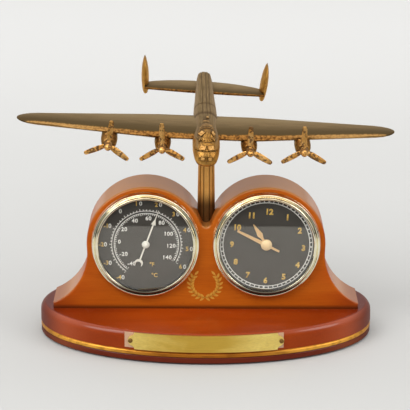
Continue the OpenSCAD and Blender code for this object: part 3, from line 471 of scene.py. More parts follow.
def castBrass(name, kind):
    # Grey-brown patina on what faces up, golden in front, dark in the pits, with painted shade in grooves,
    # flutes and round raised panes.
    # A wing has a rubbed front edge that also carries a painted reflection, the hull a dark bow with rubbed
    # panes and the post a painted shade at its foot.
    s = Shader(name, Specular_Tint=paint(234, 208, 164))
    up = s.normal("Z")
    cast = s.noise(1.5, 5, rough=0.65)
    streaks = s.noise(0.8, 4, (1, 0.05, 0.5) if kind == "hull" else (0.05, 1, 1), 0.6)
    blotch = s.noise(7, 4, rough=0.6)
    uneven = (blotch - 0.5) * 0.3 + (streaks - 0.5) * 0.25
    patina = (up + uneven).ramp(0.42, 0.84)
    pits = cast.ramp(0.55, 0.68)
    gold = s.layers(s.blend(blotch.ramp(0.3, 0.7), paint(180, 128, 58), paint(210, 160, 86)),
                    (pits * 0.7, paint(92, 56, 24)))
    brown = s.layers(s.blend(streaks.ramp(0.3, 0.7), paint(90, 73, 46), paint(126, 104, 72)),
                     (blotch.ramp(0.45, 0.8) * 0.35, paint(108, 84, 48)))
    if kind == "wing":
        behind = s.marked("edge") + (cast - 0.5) * 1.6
        inboard = 1 - s.axis("X").beyond(15, 80)
        # The band along the front edge is rubbed brass and also a painted reflection of the pale floor
        rubbed = 1 - behind.ramp(0.9, 2.2)
        # Painted reflections: dark just behind the front edge, paler further back
        brown = s.layers(brown, (1 - behind.ramp(3, 18), paint(70, 54, 28)),
                         (behind.ramp(16, 30) * 0.6, paint(138, 119, 86)))
        band = s.layers(s.blend(inboard, paint(166, 127, 75), paint(154, 106, 50)),
                        (cast.ramp(0.42, 0.62) * (0.35 + inboard * 0.65), paint(84, 50, 20)))
        gold = s.blend(rubbed, brown, band)
        patina = (up + uneven).ramp(-0.2, 0.3) * (1 - rubbed)
    if kind == "hull":
        aside = abs(s.normal("X"))
        bow = 1 - s.axis("Y").ramp(-36, 2)
        patina = (up + aside * 0.6 + uneven - bow * 0.5).ramp(0.3, 0.7)
        brown = s.blend(aside.ramp(0.35, 0.85) * 0.7, brown, paint(156, 134, 106))
    colour = s.blend(patina, gold, brown)
    metallic, rough = 0.85 - patina * 0.3 - pits * 0.2, 0.38 + patina * 0.1 + pits * 0.14
    if kind == "hull":
        specks = s.noise(0.75, 3, rough=0.6).ramp(0.44, 0.6)
        dark = bow * (0.3 + specks * 0.5) * s.axis("Z").ramp(117, 120.5) * (1 - aside.ramp(0.5, 0.9))
        rubbed = s.marked("rubbed")
        bright = s.blend(cast.ramp(0.4, 0.62), paint(226, 176, 106), paint(166, 116, 56))
        colour = s.layers(colour, (dark, paint(84, 54, 22)), (rubbed * 0.9, bright))
        metallic = metallic - rubbed * 0.25
    if kind == "post":
        # Painted shade: the post is painted dark where it stands in the case's valley
        footShade = 1 - s.axis("Z").ramp(79, 91)
        colour = s.layers(colour, (0.55, paint(250, 186, 102)), (footShade * 0.9, paint(56, 24, 8)))
        metallic = metallic - 0.35
    # Painted shade in grooves, flutes and round raised panes, from the mark that their corners carry
    colour = s.blend(s.marked("dirt") * 0.85, colour, paint(54, 32, 12))
    s.set(Base_Color=colour, Metallic=metallic, Roughness=rough,
          Normal=s.bump(cast + streaks * 0.3, 0.1, 0.5))
    return s.material


def propellerBrass():
    # Rubbed golden brass with dark specks, darker where its faces turn away from the front
    s = Shader("propellerBrass")
    specks = s.noise(1.9, 3, rough=0.6)
    blotch = s.noise(4, 3)
    ahead = -s.normal("Y")
    dark = specks.ramp(0.515, 0.565).peak(1 - ahead.ramp(0.15, 0.5))
    colour = s.layers(s.blend(blotch.ramp(0.3, 0.7), paint(206, 146, 66), paint(234, 182, 108)),
                      (dark * 0.85, paint(70, 40, 16)))
    s.set(Base_Color=colour, Metallic=0.8 - dark * 0.3, Roughness=0.36 + dark * 0.2,
          Normal=s.bump(specks + blotch * 0.3, 0.1, 0.5))
    return s.material


def bezelMetal():
    # Polished yellow brass, warmer along the top in a painted reflection of the wood, and dark and duller
    # along the bottom in a painted reflection, but for its outer lip
    s = Shader("bezelBrass", Metallic=1.0)
    side, fall = abs(s.axis("X")) - dialX, dialZ - s.axis("Z")
    reach = (side * side + fall * fall) ** 0.5
    # Painted reflection: the lower part of the bezel, but for its outer lip, is painted dark
    bottomReflection = (fall / bezelReach).ramp(0.5, 0.9) * (1 - reach.ramp(bezelReach - 1.6, bezelReach - 1.3))
    # Painted reflection of the wood: the top is painted warmer
    top = (-fall / bezelReach).ramp(0.6, 0.95)
    marks = s.noise(2.5, 3)
    colour = s.layers(s.blend(marks.ramp(0.3, 0.7), paint(242, 232, 200), paint(250, 244, 220)),
                      (top * 0.45, paint(200, 162, 96)), (bottomReflection * 0.92, paint(44, 32, 18)))
    s.set(Base_Color=colour, Roughness=0.05 + marks * 0.05 + bottomReflection * 0.1)
    return s.material


def plateBrass():
    # Thin yellow brass brushed lengthwise, brighter towards its ends in a painted highlight
    s = Shader("plateBrass", Metallic=0.9)
    brushed = s.noise(0.45, 4, (0.03, 1, 1), 0.6)
    cloud = s.noise(12, 3, (0.5, 1, 1), warp=0.5)
    # Painted highlight towards the plate's ends, with random clouds
    bright = (s.axis("X") + 4).beyond(10, 42) * 0.7 + cloud.ramp(0.45, 0.7) * 0.3
    colour = s.layers(s.blend(bright, paint(206, 168, 70), paint(255, 230, 134)),
                      (brushed.ramp(0.35, 0.7) * 0.2, paint(150, 116, 46)))
    s.set(Base_Color=colour, Roughness=0.26 + brushed * 0.1, Normal=s.bump(brushed + cloud, 0.01, 0.4))
    return s.material


def metal(name, first, second, rough, grain, stretch=(1, 1, 1), metallic=1):
    # Worked metal with fine marks
    s = Shader(name, Metallic=metallic)
    marks = s.noise(grain, 4, stretch, 0.6)
    spots = s.noise(6, 3)
    s.set(Base_Color=s.blend(marks.ramp(0.3, 0.7), first, second),
          Roughness=rough + spots * 0.08 + marks * 0.05, Normal=s.bump(marks, 0.01, 0.4))
    return s.material


def moulded(name, colour, rough, grain=0.25, **fixed):
    # Moulded plastic, rubber or paint with a fine grain and slight mottling
    s = Shader(name, **fixed)
    fine = s.noise(grain, 2)
    broad = s.noise(5, 3)
    dark = tuple(v * 0.8 for v in colour[:3]) + (1,)
    s.set(Base_Color=s.blend(broad, dark, colour), Roughness=rough + fine * 0.12,
          Normal=s.bump(fine, 0.01, 0.5))
    return s.material


def lensGlass():
    # Clear flat glass: it lets light through and mirrors the room at its own angle
    s = Shader("lensGlass")
    mirror = s.node("BsdfGlossy", {}, {"Color": (1, 0.965, 0.9, 1), "Roughness": 0.02})
    clear = s.node("BsdfTransparent", {}, {"Color": (0.98, 0.98, 0.97, 1)})
    haze = s.noise(9, 3).ramp(0.3, 0.8) * 0.006
    steep = s.node("LayerWeight", {}, {"Blend": 0.5}, out="Facing")
    mixed = s.node("MixShader", {}, {0: steep ** 5 * 0.7 + 0.058 + haze, 1: clear, 2: mirror})
    s.tree.links.new(mixed.link, s.tree.nodes["Material Output"].inputs["Surface"])
    return s.material


look = {
    "case_wood": caseWood(),
    "base_wood": baseWood(),
    "antique_brass": castBrass("antiqueBrass", "fin"),
    "felt": moulded("greenFelt", paint(38, 66, 48), 0.85, 0.3, Sheen_Weight=0.4),
    "plate_brass": plateBrass(),
    "bezel_brass": bezelMetal(),
    "wheel_brass": metal("wheelBrass", paint(226, 190, 104), paint(236, 204, 124), 0.28, 0.5),
    "hand_brass": metal("handBrass", paint(244, 200, 140), paint(252, 214, 160), 0.38, 0.3, (1, 1, 0.1), 0.5),
    "steel": metal("zincSteel", paint(176, 178, 180), paint(200, 202, 204), 0.32, 0.6),
    "dial_print": moulded("dialBlack", paint(66, 62, 57), 0.55, 0.2),
    "pointer_paint": moulded("pointerPaint", paint(254, 251, 240), 0.4),
    "black_plastic": moulded("blackPlastic", paint(36, 36, 38), 0.45, 0.4),
    "black_rubber": moulded("blackRubber", paint(30, 30, 30), 0.7, 0.3),
    "pale_plastic": moulded("palePlastic", paint(226, 224, 214), 0.32),
    "tape": moulded("mountingTape", paint(190, 150, 120), 0.3),
    "lens_glass": lensGlass(),
}
printWhite = moulded("printWhite", paint(254, 253, 248), 0.5, 0.15)
printGold = moulded("printGold", paint(236, 194, 96), 0.45, 0.15)
rubbedBrass = propellerBrass()
hullBrass, wingBrass, postBrass = (castBrass(kind + "Brass", kind) for kind in ("hull", "wing", "post"))
capBrass = metal("capBrass", paint(250, 214, 158), paint(254, 228, 180), 0.4, 0.6, metallic=0.2)
pinBrass = metal("pinBrass", paint(112, 84, 44), paint(140, 108, 60), 0.5, 0.4)
foilGold = metal("foilGold", paint(192, 136, 38), paint(208, 154, 56), 0.42, 0.5, metallic=0.3)
print("materials ready")


# Camera and room

cameraSet = {
    "target": (-0.753, -17.3, 83.581),
    "elevation": 15.532,
    "azimuth": -0.148,
    "roll": 0.236,
    "distance": 1183.44,
    "focalPixels": 1986.35,
    "framePixels": 410,
    "sensor": 36,
    "clipEnd": 20,
}
roomSet = {
    "wall": paint(204, 204, 203),
    "floor": paint(176, 176, 174),
    "floorFade": (-100, 1100),       # along y, where the floor is painted paler towards the back, a painted light gradient
    "floorWide": 6000,
    "floorEnd": 2600,
    "floorNear": -266,               # what mirrors in the lenses ends here
    "low": 0.55,                     # light of the room near the floor and overhead
    "high": 0.9,
    "dark": 0.03,                    # and below the floor
    "frontDark": 0.85,               # how much darker the room is low behind the camera
    "boxes": (                       # soft boxes: direction, half width in degrees, light
        ((-0.65, -0.5, 0.6), 15, 3.8),
        ((0.75, -0.3, 0.55), 13, 3.6),
        ((0, 0.25, 1), 24, 0.8),
    ),
    "boxEdge": 4,                    # degrees over which a box fades out
    "lamps": (                       # place in metres, power, size
        ("keyLamp", (-0.7, -1.0, 1.5), 8.5, 1.1),
        ("frontLamp", (0.2, -2.2, 1.2), 22, 2.4),
    ),
    "lampAim": (0, 0, 0.07),
}


def placeCamera(s):
    el, az = math.radians(s["elevation"]), math.radians(s["azimuth"])
    back = Vector((math.sin(az) * math.cos(el), -math.cos(az) * math.cos(el), math.sin(el)))
    bpy.ops.object.camera_add(location=(Vector(s["target"]) + back * s["distance"]) * mm)
    camera = bpy.context.active_object
    camera.name = "photoCamera"
    camera.rotation_euler = back.to_track_quat("Z", "Y").to_euler()
    camera.rotation_euler.rotate_axis("Z", math.radians(s["roll"]))
    camera.data.sensor_width = s["sensor"]
    camera.data.lens = s["focalPixels"] / s["framePixels"] * s["sensor"]
    camera.data.clip_end = s["clipEnd"]
    bpy.context.scene.camera = camera


def placeFloor(s):
    # Only the part behind floorNear shows in mirrors
    floor = Shader("paleFloor", Roughness=0.9, Specular_IOR_Level=0.2)
    mottled = floor.blend(floor.noise(300, 2) * 0.3, s["floor"], s["wall"])
    # The floor is painted paler towards the back: painted light
    floor.set(Base_Color=floor.blend(floor.axis("Y").ramp(*s["floorFade"]), mottled, s["wall"]))
    for name, near, far in (("floorBehind", s["floorNear"], s["floorEnd"]),
                            ("floorAhead", -s["floorEnd"], s["floorNear"])):
        bpy.ops.mesh.primitive_plane_add(size=1, location=(0, (near + far) / 2 * mm, 0))
        plane = bpy.context.active_object
        plane.scale = (s["floorWide"] * mm, (far - near) * mm, 1)
        settle(plane)
        plane.name = name
        plane.data.materials.append(floor.material)
        plane.visible_glossy = name == "floorBehind"


def placeLight(s):
    # A room that is brighter overhead, with soft boxes, and lamps
    sky = Shader("studio", "worlds")
    way = sky.node("TexCoord", {}, {}, out="Generated")
    y, z = sky.axis("Y", way), sky.axis("Z", way)
    light = s["low"] + (s["high"] - s["low"]) * z.ramp(0, 0.9)
    light = light * (1 - (-y).ramp(0.35, 0.8) * (1 - z.ramp(0.3, 0.6)) * s["frontDark"])
    for toward, wide, power in s["boxes"]:
        near = sky.node("VectorMath", {"operation": "DOT_PRODUCT"}, {0: way, 1: Vector(toward).normalized()},
                        out="Value")
        rim, full = (math.cos(math.radians(reach)) for reach in (wide + s["boxEdge"], wide))
        light = light + near.ramp(rim, full) * power
    light = light * z.ramp(0.0, 0.02) + s["dark"]
    sky.set(Color=sky.blend(1.0, light, (1, 0.995, 0.985, 1), "MULTIPLY"))
    bpy.context.scene.world = sky.material
    for name, place, power, size in s["lamps"]:
        bpy.ops.object.light_add(type="AREA", location=place)
        lamp = bpy.context.active_object
        lamp.name = name
        lamp.data.shape, lamp.data.size, lamp.data.energy = "DISK", size, power
        lamp.rotation_euler = (Vector(place) - Vector(s["lampAim"])).to_track_quat("Z", "Y").to_euler()
    bpy.context.scene.view_settings.view_transform = "Standard"


placeCamera(cameraSet)
placeFloor(roomSet)
placeLight(roomSet)
print("camera and room placed")


# CAD nodes that keep their own shape

record = frame["record"]
slotOf = {part["node"]: part["material_slot"] for part in record["subparts"]}
bodyOf = {node: body for body, nodes in record["behaviour"]["bodies"].items() for node in nodes}
for node, piece in frame["nodes"].items():
    piece.data.materials.clear()
    piece.data.materials.append(look[slotOf[node]])


def smoothName(node):
    # port_wing becomes portWingSmooth
    first, *others = node.split("_")
    return first + "".join(word.capitalize() for word in others) + "Smooth"


def dress(piece, node, name, angle, material=None):
    # A shaped copy stands for its node, with smooth round faces
    smooth(piece, angle)
    return finish(piece, name, bodyOf[node], material or look[slotOf[node]], (node,))


roundNodes = {                 # up to which angle in degrees two faces run into each other
    "clock_bezel": 30, "thermometer_bezel": 30, "clock_can": 30, "thermometer_can": 30,
    "clock_band": 25, "thermometer_band": 25, "hand_cap": 40, "pointer_cap": 40, "plate_pins": 40,
    "setting_knob": 35, "battery_cover": 30, "pointer": 20,
    "propeller_pins": 40, "propeller_1": 50, "propeller_2": 50, "propeller_3": 50, "propeller_4": 50,
    "case_block": 30, "base_plinth": 30, "port_fin": 40, "starboard_fin": 40,
}
ownLook = {"hand_cap": capBrass, "plate_pins": pinBrass}
ownLook.update({node: rubbedBrass for node in roundNodes if node.startswith("propeller")})
for node, angle in roundNodes.items():
    dress(nodeCopy(node), node, smoothName(node), angle, ownLook.get(node))
print("nodes dressed")


# Post: a flat oval column with flutes down its broad sides

postSet = {
    "sides": 72,
    "flutes": (-3.9, -1.6, 2.0, 4.3),   # across, from its middle
    "fluteWidth": 0.75,
    "fluteDepth": 0.6,
    "fluteWall": 0.16,                  # how far a flute's walls lean in
    "fluteDirt": 0.6,
    "topWidth": 0.88,
    "roundTo": 50,                      # up to which angle in degrees two faces run into each other
}


def makePost(s):
    low, high = nodeBox("post")
    radius, tall = (high.y - low.y) / 2, high.z - low.z
    apart = (high.x - low.x) / 2 - radius
    centre = (low + high) / 2
    clearSelection()
    bpy.ops.mesh.primitive_cylinder_add(vertices=s["sides"], radius=radius, depth=tall, location=centre,
                                        rotation=(0, 0, math.radians(180 / s["sides"])))
    post = bpy.context.active_object
    settle(post)
    for side in (-1, 1):
        choose(post, lambda v: (v.co.x - centre.x) * side > 0, "VERT")
        bpy.ops.transform.translate(value=(side * apart, 0, 0))
    half = s["fluteWidth"] / 2
    cutAcross(post, "x", [centre.x + flute + edge for flute in s["flutes"] for edge in (-half, half)])
    for flute in s["flutes"]:
        choose(post, lambda face: abs(face.normal.z) < 0.1 and abs(face.normal.y) > 0.2
               and abs(face.center.x - centre.x - flute) < half)
        bpy.ops.mesh.inset(thickness=s["fluteWall"], depth=-s["fluteDepth"])
        bpy.ops.object.mode_set(mode="OBJECT")
        # Painted shade in the flute
        mark(post, lambda v: v.select, s["fluteDirt"])
    choose(post, lambda v: v.co.z > centre.z, "VERT")
    bpy.ops.transform.resize(value=(s["topWidth"], 1, 1), center_override=tuple(centre))
    bpy.ops.object.mode_set(mode="OBJECT")
    dress(post, "post", "flutedPost", s["roundTo"], postBrass)


makePost(postSet)
print("post made")


# Hands, cut from strip with a round boss and soft edges

handSet = {
    "minute_hand": {
        "turn": 297,
        "boss": 3.0,
        # Places along the hand and its width there
        "outline": ((-8.2, 1.3), (-3.0, 1.5), (2.5, 2.6), (5, 2.2), (19.2, 1.4), (19.6, 1.0)),
    },
    "hour_hand": {
        "turn": 328,
        "boss": 3.4,
        "outline": ((-1.0, 1.6), (2.8, 1.7), (4.6, 1.5), (7.4, 3.5), (9.2, 2.7), (14.8, 0.5), (15.0, 0.2)),
    },
}
handMake = {
    "strip": 0.5,             # length of the piece of strip that a hand grows from
    "softEdge": 0.1,
    "roundTo": 30,
}


def makeHand(node, s):
    low, high = nodeBox(node)
    strip, (last, lastWidth) = handMake["strip"], s["outline"][0]
    clearSelection()
    bpy.ops.mesh.primitive_plane_add(size=1, location=(0, last - strip / 2, 0))
    hand = bpy.context.active_object
    hand.scale = (lastWidth, strip, 1)
    settle(hand)
    for place, width in s["outline"][1:]:
        corners = hand.data.vertices
        choose(hand, lambda edge: all(abs(corners[i].co.y - last) < hair for i in edge.vertices), "EDGE")
        bpy.ops.mesh.extrude_region_move(TRANSFORM_OT_translate={"value": (0, place - last, 0)})
        bpy.ops.transform.resize(value=(width / lastWidth, 1, 1), center_override=(0, place, 0))
        last, lastWidth = place, width
    bpy.ops.object.mode_set(mode="OBJECT")
    thick = high.y - low.y
    modify(hand, "SOLIDIFY", thickness=thick, offset=0)
    bpy.ops.mesh.primitive_cylinder_add(vertices=40, radius=s["boss"], depth=thick)
    hand = join([hand, bpy.context.active_object])
    closeUp(hand)
    modify(hand, "BEVEL", width=handMake["softEdge"], segments=2, limit_method="ANGLE")
    hand.rotation_euler = (0, 0, -math.radians(s["turn"]))
    settle(hand)
    hand.rotation_euler = (math.radians(90), 0, 0)
    hand.location = (dialX, (low.y + high.y) / 2, dialZ)
    dress(hand, node, node.split("_")[0] + "Hand", handMake["roundTo"])


for node, settings in handSet.items():
    makeHand(node, settings)
print("hands made")


# Dial prints

clockSet = {
    "turned": 2.9,             # the insert sits a little clockwise in the case
    "inside": (25.75, 26.25),  # radii of the track's inside line
    "outside": (27.4, 27.85),
    "overlap": 0.1,            # how far a mark runs into the lines
    "minuteMark": 0.55,
    "hourMark": 1.15,
    "figures": (21.5, 3.8),    # radius and height
    "offset": (0.8, -1.0),     # the figures are printed off the track's middle
    "weight": 0.05,
}


def clockPrint(s):
    inner, outer = s["inside"][1] - s["overlap"], s["outside"][0] + s["overlap"]
    pieces = [ring(*s["inside"]), ring(*s["outside"]),
              fan(tick(inner, outer, s["minuteMark"]), 60, 6), fan(tick(inner, outer, s["hourMark"]), 12, 30)]
    middle = (dialX, dialZ)
    standUp(pieces, "clockTrack", "clock_insert", printWhite, dialFront, middle, s["turned"])
    radius, tall = s["figures"]
    figures = [letters(str(hour), tall, onDial(radius, 30 * hour), s["weight"]) for hour in range(1, 13)]
    middle = (dialX + s["offset"][0], dialZ + s["offset"][1])
    standUp(figures, "clockFigures", "clock_insert", printGold, dialFront, middle, s["turned"])


scaleSet = {
    "inside": (-40, 140),      # lowest and highest figure
    "outside": (-40, 60),
    "start": -143.3,           # clock angle of the lowest figure, where both scales meet
    "step": 1.478,             # degrees of angle for one of the inside scale
    "insideArc": (19.2, 19.55),
    "outsideArc": (20.6, 20.95),
    "insideMark": (18.3, 19.3),
    "insideTen": (17.9, 19.3),
    "outsideMark": (20.9, 21.7),
    "outsideTen": (20.9, 22.2),
    "insideEvery": 2.5,        # degrees of the scale from mark to mark
    "outsideEvery": 2,
    "mark": 0.5,
    "insideFigures": (16.3, 2.6, 20),      # radius, height and step
    "longFigures": 15.0,       # radius for three figures
    "outsideFigures": (25.8, 2.8, 10),
    "figureHalf": 0.45,        # from the middle of two figures to the middle of one, for a height of 1
    "weight": 0.03,
    "apart": 1.12,
    "signs": (("\u00b0F", (3.3, -12.4)), ("\u00b0C", (4.8, -19.2))),
    "signHeight": 2.7,
    "middle": (0.4, -0.1),     # the scales are printed off the dial's middle
}


def thermometerPrint(s):
    weight, start, step = s["weight"], s["start"], s["step"]
    (insideLow, insideHigh), (outsideLow, outsideHigh) = s["inside"], s["outside"]
    insideRange, outsideRange = insideHigh - insideLow, outsideHigh - outsideLow
    outsideStep = step * insideRange / outsideRange
    end = start + insideRange * step
    white, gold = [ring(*s["insideArc"], start, end), ring(*s["outsideArc"], start, end)], []
    for key, reach, every, degree in (("insideMark", insideRange, s["insideEvery"], step),
                                      ("insideTen", insideRange, 10, step),
                                      ("outsideMark", outsideRange, s["outsideEvery"], outsideStep),
                                      ("outsideTen", outsideRange, 10, outsideStep)):
        white.append(fan(tick(*s[key], s["mark"]), round(reach / every) + 1, every * degree, start))
    radius, tall, every = s["insideFigures"]
    for value in range(insideLow, insideHigh + 1, every):
        spot = onDial(radius if len(str(value)) < 3 else s["longFigures"], start + (value - insideLow) * step)
        white.append(letters(str(value), tall, spot, weight, s["apart"]))
    radius, tall, every = s["outsideFigures"]
    half = s["figureHalf"] * tall
    for value in range(outsideLow, outsideHigh + 1, every):
        x, y = onDial(radius, start + (value - outsideLow) * outsideStep)
        if value:
            gold.append(letters(str(value // 10), tall, (x - half, y), weight))
        white.append(letters("0", tall, (x + (half if value else 0), y), weight))
    gold += [letters(sign, s["signHeight"], spot, weight) for sign, spot in s["signs"]]
    middle = (s["middle"][0] - dialX, s["middle"][1] + dialZ)
    standUp(white, "scaleMarks", "thermometer_insert", printWhite, dialFront, middle)
    standUp(gold, "scaleGold", "thermometer_insert", printGold, dialFront, middle)


clockPrint(clockSet)
thermometerPrint(scaleSet)
print("dials printed")


# Wreath pressed in gold on the front of the case

wreathSet = {
    "middle": (-0.6, 34.1),
    "stem": 8.5,
    "stemWidth": 0.35,
    "open": 46,               # degrees that stay open on each side of the top
    "leaves": 8,              # pairs on each branch
    "firstLeaf": 4,           # degrees from the bottom
    "leafLength": 3.7,
    "leafWidth": 1.4,
    "leafPoint": 1.25,        # how much longer than an oval its points make a leaf
    "lean": 44,
}


def makeLeaf(s):
    # A pointed leaf that starts at the origin and grows along +y
    clearSelection()
    bpy.ops.mesh.primitive_circle_add(vertices=16, radius=0.5, fill_type="NGON", location=(0, 0.5, 0))
    leaf = bpy.context.active_object
    settle(leaf)
    choose(leaf, lambda v: abs(v.co.y - 0.5) > 0.48, "VERT")
    bpy.ops.transform.resize(value=(1, s["leafPoint"], 1), center_override=(0, 0.5, 0))
    bpy.ops.object.mode_set(mode="OBJECT")
    leaf.scale = (s["leafWidth"], s["leafLength"] / s["leafPoint"], 1)
    settle(leaf)
    return leaf


def makeWreath(s):
    leaf = makeLeaf(s)
    half = s["stemWidth"] / 2
    pieces = [ring(s["stem"] - half, s["stem"] + half, s["open"], 360 - s["open"])]
    for side in (-1, 1):
        for count in range(s["leaves"] + 1):
            angle = 180 - side * (s["firstLeaf"] + count * (180 - s["open"] - s["firstLeaf"]) / s["leaves"])
            spot = (*onDial(s["stem"], angle), 0)
            leans = (-s["lean"], s["lean"]) if count < s["leaves"] else (0,)
            pieces += [another(leaf, spot, angle - side * 90 + lean) for lean in leans]
    bpy.data.objects.remove(leaf)
    standUp(pieces, "goldWreath", "clock_stand", foilGold, faceY, s["middle"])


makeWreath(wreathSet)
print("wreath made")


# Aircraft: each piece is brought level, worked in its own directions and put back

aircraftSet = {
    "middle": (-0.2, -31.3, 122.6),
    "pitch": 5.8,
    "roll": 2.3,
    "yaw": 1,
    "wingRoundTo": 40,
    "bodyRoundTo": 28,
}
aircraftPlace = Matrix.Translation(aircraftSet["middle"])
for way, axis in (("yaw", "Z"), ("roll", "Y"), ("pitch", "X")):
    aircraftPlace = aircraftPlace @ Matrix.Rotation(math.radians(aircraftSet[way]), 4, axis)

wingSet = {
    "port_wing": {"stations": (12, 40, 75, 100), "finer": 1},     # across, where the front edge is measured
    "starboard_wing": {"stations": (-100, -75, -40, -12), "finer": 1},
    "tailplane": {"stations": (-28, -10, 10, 28), "finer": 1.8},  # its chord is that much shorter
}


def makeWing(node, s):
    # Marks how far each corner lies behind the wing's front edge, for the patina, the rubbed band and the
    # painted reflections on it
    wing = nodeCopy(node)
    setTo(wing, aircraftPlace.inverted())
    cutAcross(wing, "x", s["stations"])
    edge = [(station, min(v.co.y for v in wing.data.vertices if abs(v.co.x - station) < hair))
            for station in s["stations"]]
    marks = wing.data.attributes.new("edge", "FLOAT", "POINT")
    for v in wing.data.vertices:
        pair = 0
        while pair < len(edge) - 2 and v.co.x > edge[pair + 1][0]:
            pair += 1
        (x0, y0), (x1, y1) = edge[pair:pair + 2]
        front = y0 + (y1 - y0) * (v.co.x - x0) / (x1 - x0)
        marks.data[v.index].value = (v.co.y - front) * s["finer"]
    setTo(wing, aircraftPlace)
    dress(wing, node, smoothName(node), aircraftSet["wingRoundTo"], wingBrass)


ridgeRubbed = 0.55


def score(piece, way, place, wide, deep, test):
    # A V groove, or a ridge where deep is below 0, in the plane that crosses the x, y or z axis at place
    cutAcross(piece, way, (place - wide / 2, place, place + wide / 2))
    axis = "xyz".index(way)

    def onLine(v, gap=0):
        return abs(abs(v.co[axis] - place) - gap) < hair and test(v)

    # A groove, or a ridge's foot, carries painted shade, and a ridge's crest is rubbed
    if deep > 0:
        mark(piece, onLine)
    else:
        mark(piece, lambda v: onLine(v, wide / 2))
        mark(piece, onLine, ridgeRubbed, "rubbed")
    choose(piece, onLine, "VERT")
    bpy.ops.transform.shrink_fatten(value=-deep)
    bpy.ops.object.mode_set(mode="OBJECT")


paneSet = {
    "thick": 0.5,             # the ribs have their own
    "rim": (0.25, 0.2),       # width of the rim with painted shade: at most this, and at most this share of the pane's
    "slope": (0.2, 0.1),      # the same for the slope inside it
    "rise": 0.22,
    "softEdge": 0.08,
    "dirtBelow": 0.05,        # above the rim
    "rubbedAbove": 0.12,
    "rubbedWide": 4,          # a pane of this width is rubbed bright, a narrower one less
    "proud": 0.3,
}


def pane(skin, spot, wide, tall, thick=paneSet["thick"]):
    # A raised pane with painted shade round its rim and a rubbed middle, seated on the nearest point of the
    # skin
    s = paneSet
    place, out = skin.find_nearest(Vector(spot))[:2]
    clearSelection()
    bpy.ops.mesh.primitive_cube_add(size=1)
    made = bpy.context.active_object
    made.scale = (wide, tall, thick)
    settle(made)
    choose(made, lambda face: face.normal.z > 0.9)
    bpy.ops.mesh.inset(thickness=min(s["rim"][0], wide * s["rim"][1]), depth=0)
    bpy.ops.mesh.inset(thickness=min(s["slope"][0], wide * s["slope"][1]), depth=s["rise"])
    bpy.ops.object.mode_set(mode="OBJECT")
    modify(made, "BEVEL", width=s["softEdge"], segments=2, limit_method="ANGLE")
    # Painted shade round the pane's foot and a rubbed top
    mark(made, lambda v: v.co.z < thick / 2 + s["dirtBelow"])
    mark(made, lambda v: v.co.z > thick / 2 + s["rubbedAbove"], min(1.0, wide / s["rubbedWide"]), "rubbed")
    across = Vector((0, 0, 1)).cross(out).normalized() if abs(out.z) < 0.98 else Vector((1, 0, 0))
    turn = Matrix((across, out.cross(across), out)).transposed().to_4x4()
    setTo(made, Matrix.Translation(place + out * (s["proud"] - thick / 2)) @ turn)
    return made


fuselageSet = {
    "lines": (-1.75, 0.7, 2.7),           # across the rear top, where its lengthwise grooves run
    "linesFrom": 24,
    "lineWide": 0.9,
    "lineDeep": 0.35,
    "bands": ((39, 8), (57, 3)),          # place and width of a shallow dip across the top
    "bandDeep": 0.25,
    "hoops": ((21.5, 2.2, 4.4), (14, 3.4, 4.4), (6.8, 4.3, 2.8), (2.9, 4.9, 1.6)),   # place, reach, width
    "hoopHigh": 0.55,
    "seams": ((5.9, -2.5), (1.8, -6.0)),  # height of a seam round the nose, and where it ends behind
    "seamWide": 0.7,
    "seamDeep": 0.4,
    "panes": (                            # place, width and height
        (0.9, 29.0, 9.4, 2.0, 3.6),                                      # blister
        (-3.2, -2.4, 9.2, 4.2, 3.8), (3.8, -1.8, 9.2, 3.8, 3.4),         # windscreen
        (-2.5, -11.6, 3.6, 4.2, 3.6), (2.5, -11.6, 3.6, 4.2, 3.6),       # turret
        (-2.2, -15.8, -1.9, 2.9, 2.3), (2.1, -15.8, -1.9, 2.9, 2.3),     # below it
    ),
    "ribs": (-4.4, -2.9, -1.4, 0.1, 1.6, 3.1, 4.6),
    "ribPlace": (-6.3, 7.6),
    "ribSize": (0.7, 2.6, 0.7),
    "eye": (0.1, -15.8, -3.9),
    "eyeWide": 1.5,
    "eyeRim": 0.25,
    "eyeDeep": 0.6,
    "eyeLean": 0.05,                      # how much its hollow narrows towards its end
}


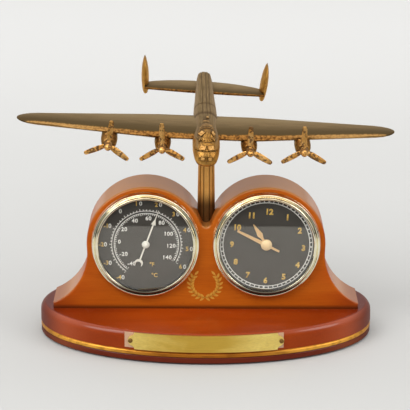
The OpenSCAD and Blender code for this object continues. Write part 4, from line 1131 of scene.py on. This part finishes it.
def makeEye(s):
    # A short tube with a hollow front
    clearSelection()
    bpy.ops.mesh.primitive_cylinder_add(vertices=20, radius=s["eyeWide"] / 2, depth=1, location=s["eye"],
                                        rotation=(math.radians(90), 0, 0))
    eye = bpy.context.active_object
    settle(eye)
    choose(eye, lambda face: face.normal.y < -0.9)
    bpy.ops.mesh.inset(thickness=s["eyeRim"], depth=0)
    bpy.ops.mesh.inset(thickness=s["eyeLean"], depth=-s["eyeDeep"])
    bpy.ops.object.mode_set(mode="OBJECT")
    return eye


def makeFuselage(s):
    fuselage = nodeCopy("fuselage")
    setTo(fuselage, aircraftPlace.inverted())
    skin = BVHTree.FromPolygons([v.co.copy() for v in fuselage.data.vertices],
                                [face.vertices[:] for face in fuselage.data.polygons])

    def onTop(v):
        return v.normal.z > 0.2

    for line in s["lines"]:
        score(fuselage, "x", line, s["lineWide"], s["lineDeep"],
              lambda v: v.co.y > s["linesFrom"] and onTop(v))
    for place, wide in s["bands"]:
        score(fuselage, "y", place, wide, s["bandDeep"], onTop)
    for place, reach, wide in s["hoops"]:
        cutAcross(fuselage, "x", (-reach, reach))
        score(fuselage, "y", place, wide, -s["hoopHigh"], lambda v: abs(v.co.x) < reach and onTop(v))
    for height, rear in s["seams"]:
        score(fuselage, "z", height, s["seamWide"], s["seamDeep"], lambda v: v.co.y < rear)
    smooth(fuselage, aircraftSet["bodyRoundTo"])
    panes = [pane(skin, row[:3], *row[3:]) for row in s["panes"]]
    ribs = [pane(skin, (rib, *s["ribPlace"]), *s["ribSize"]) for rib in s["ribs"]]
    fuselage = join([fuselage] + panes + ribs + [makeEye(s)])
    setTo(fuselage, aircraftPlace)
    finish(fuselage, "castFuselage", bodyOf["fuselage"], hullBrass, ("fuselage",))


for node, settings in wingSet.items():
    makeWing(node, settings)
makeFuselage(fuselageSet)
print("aircraft worked")


# The brass plate bends a little from face to face, and its ends stay sharp
dress(nodeCopy("name_plate"), "name_plate", smoothName("name_plate"), 20)
print("plate dressed")
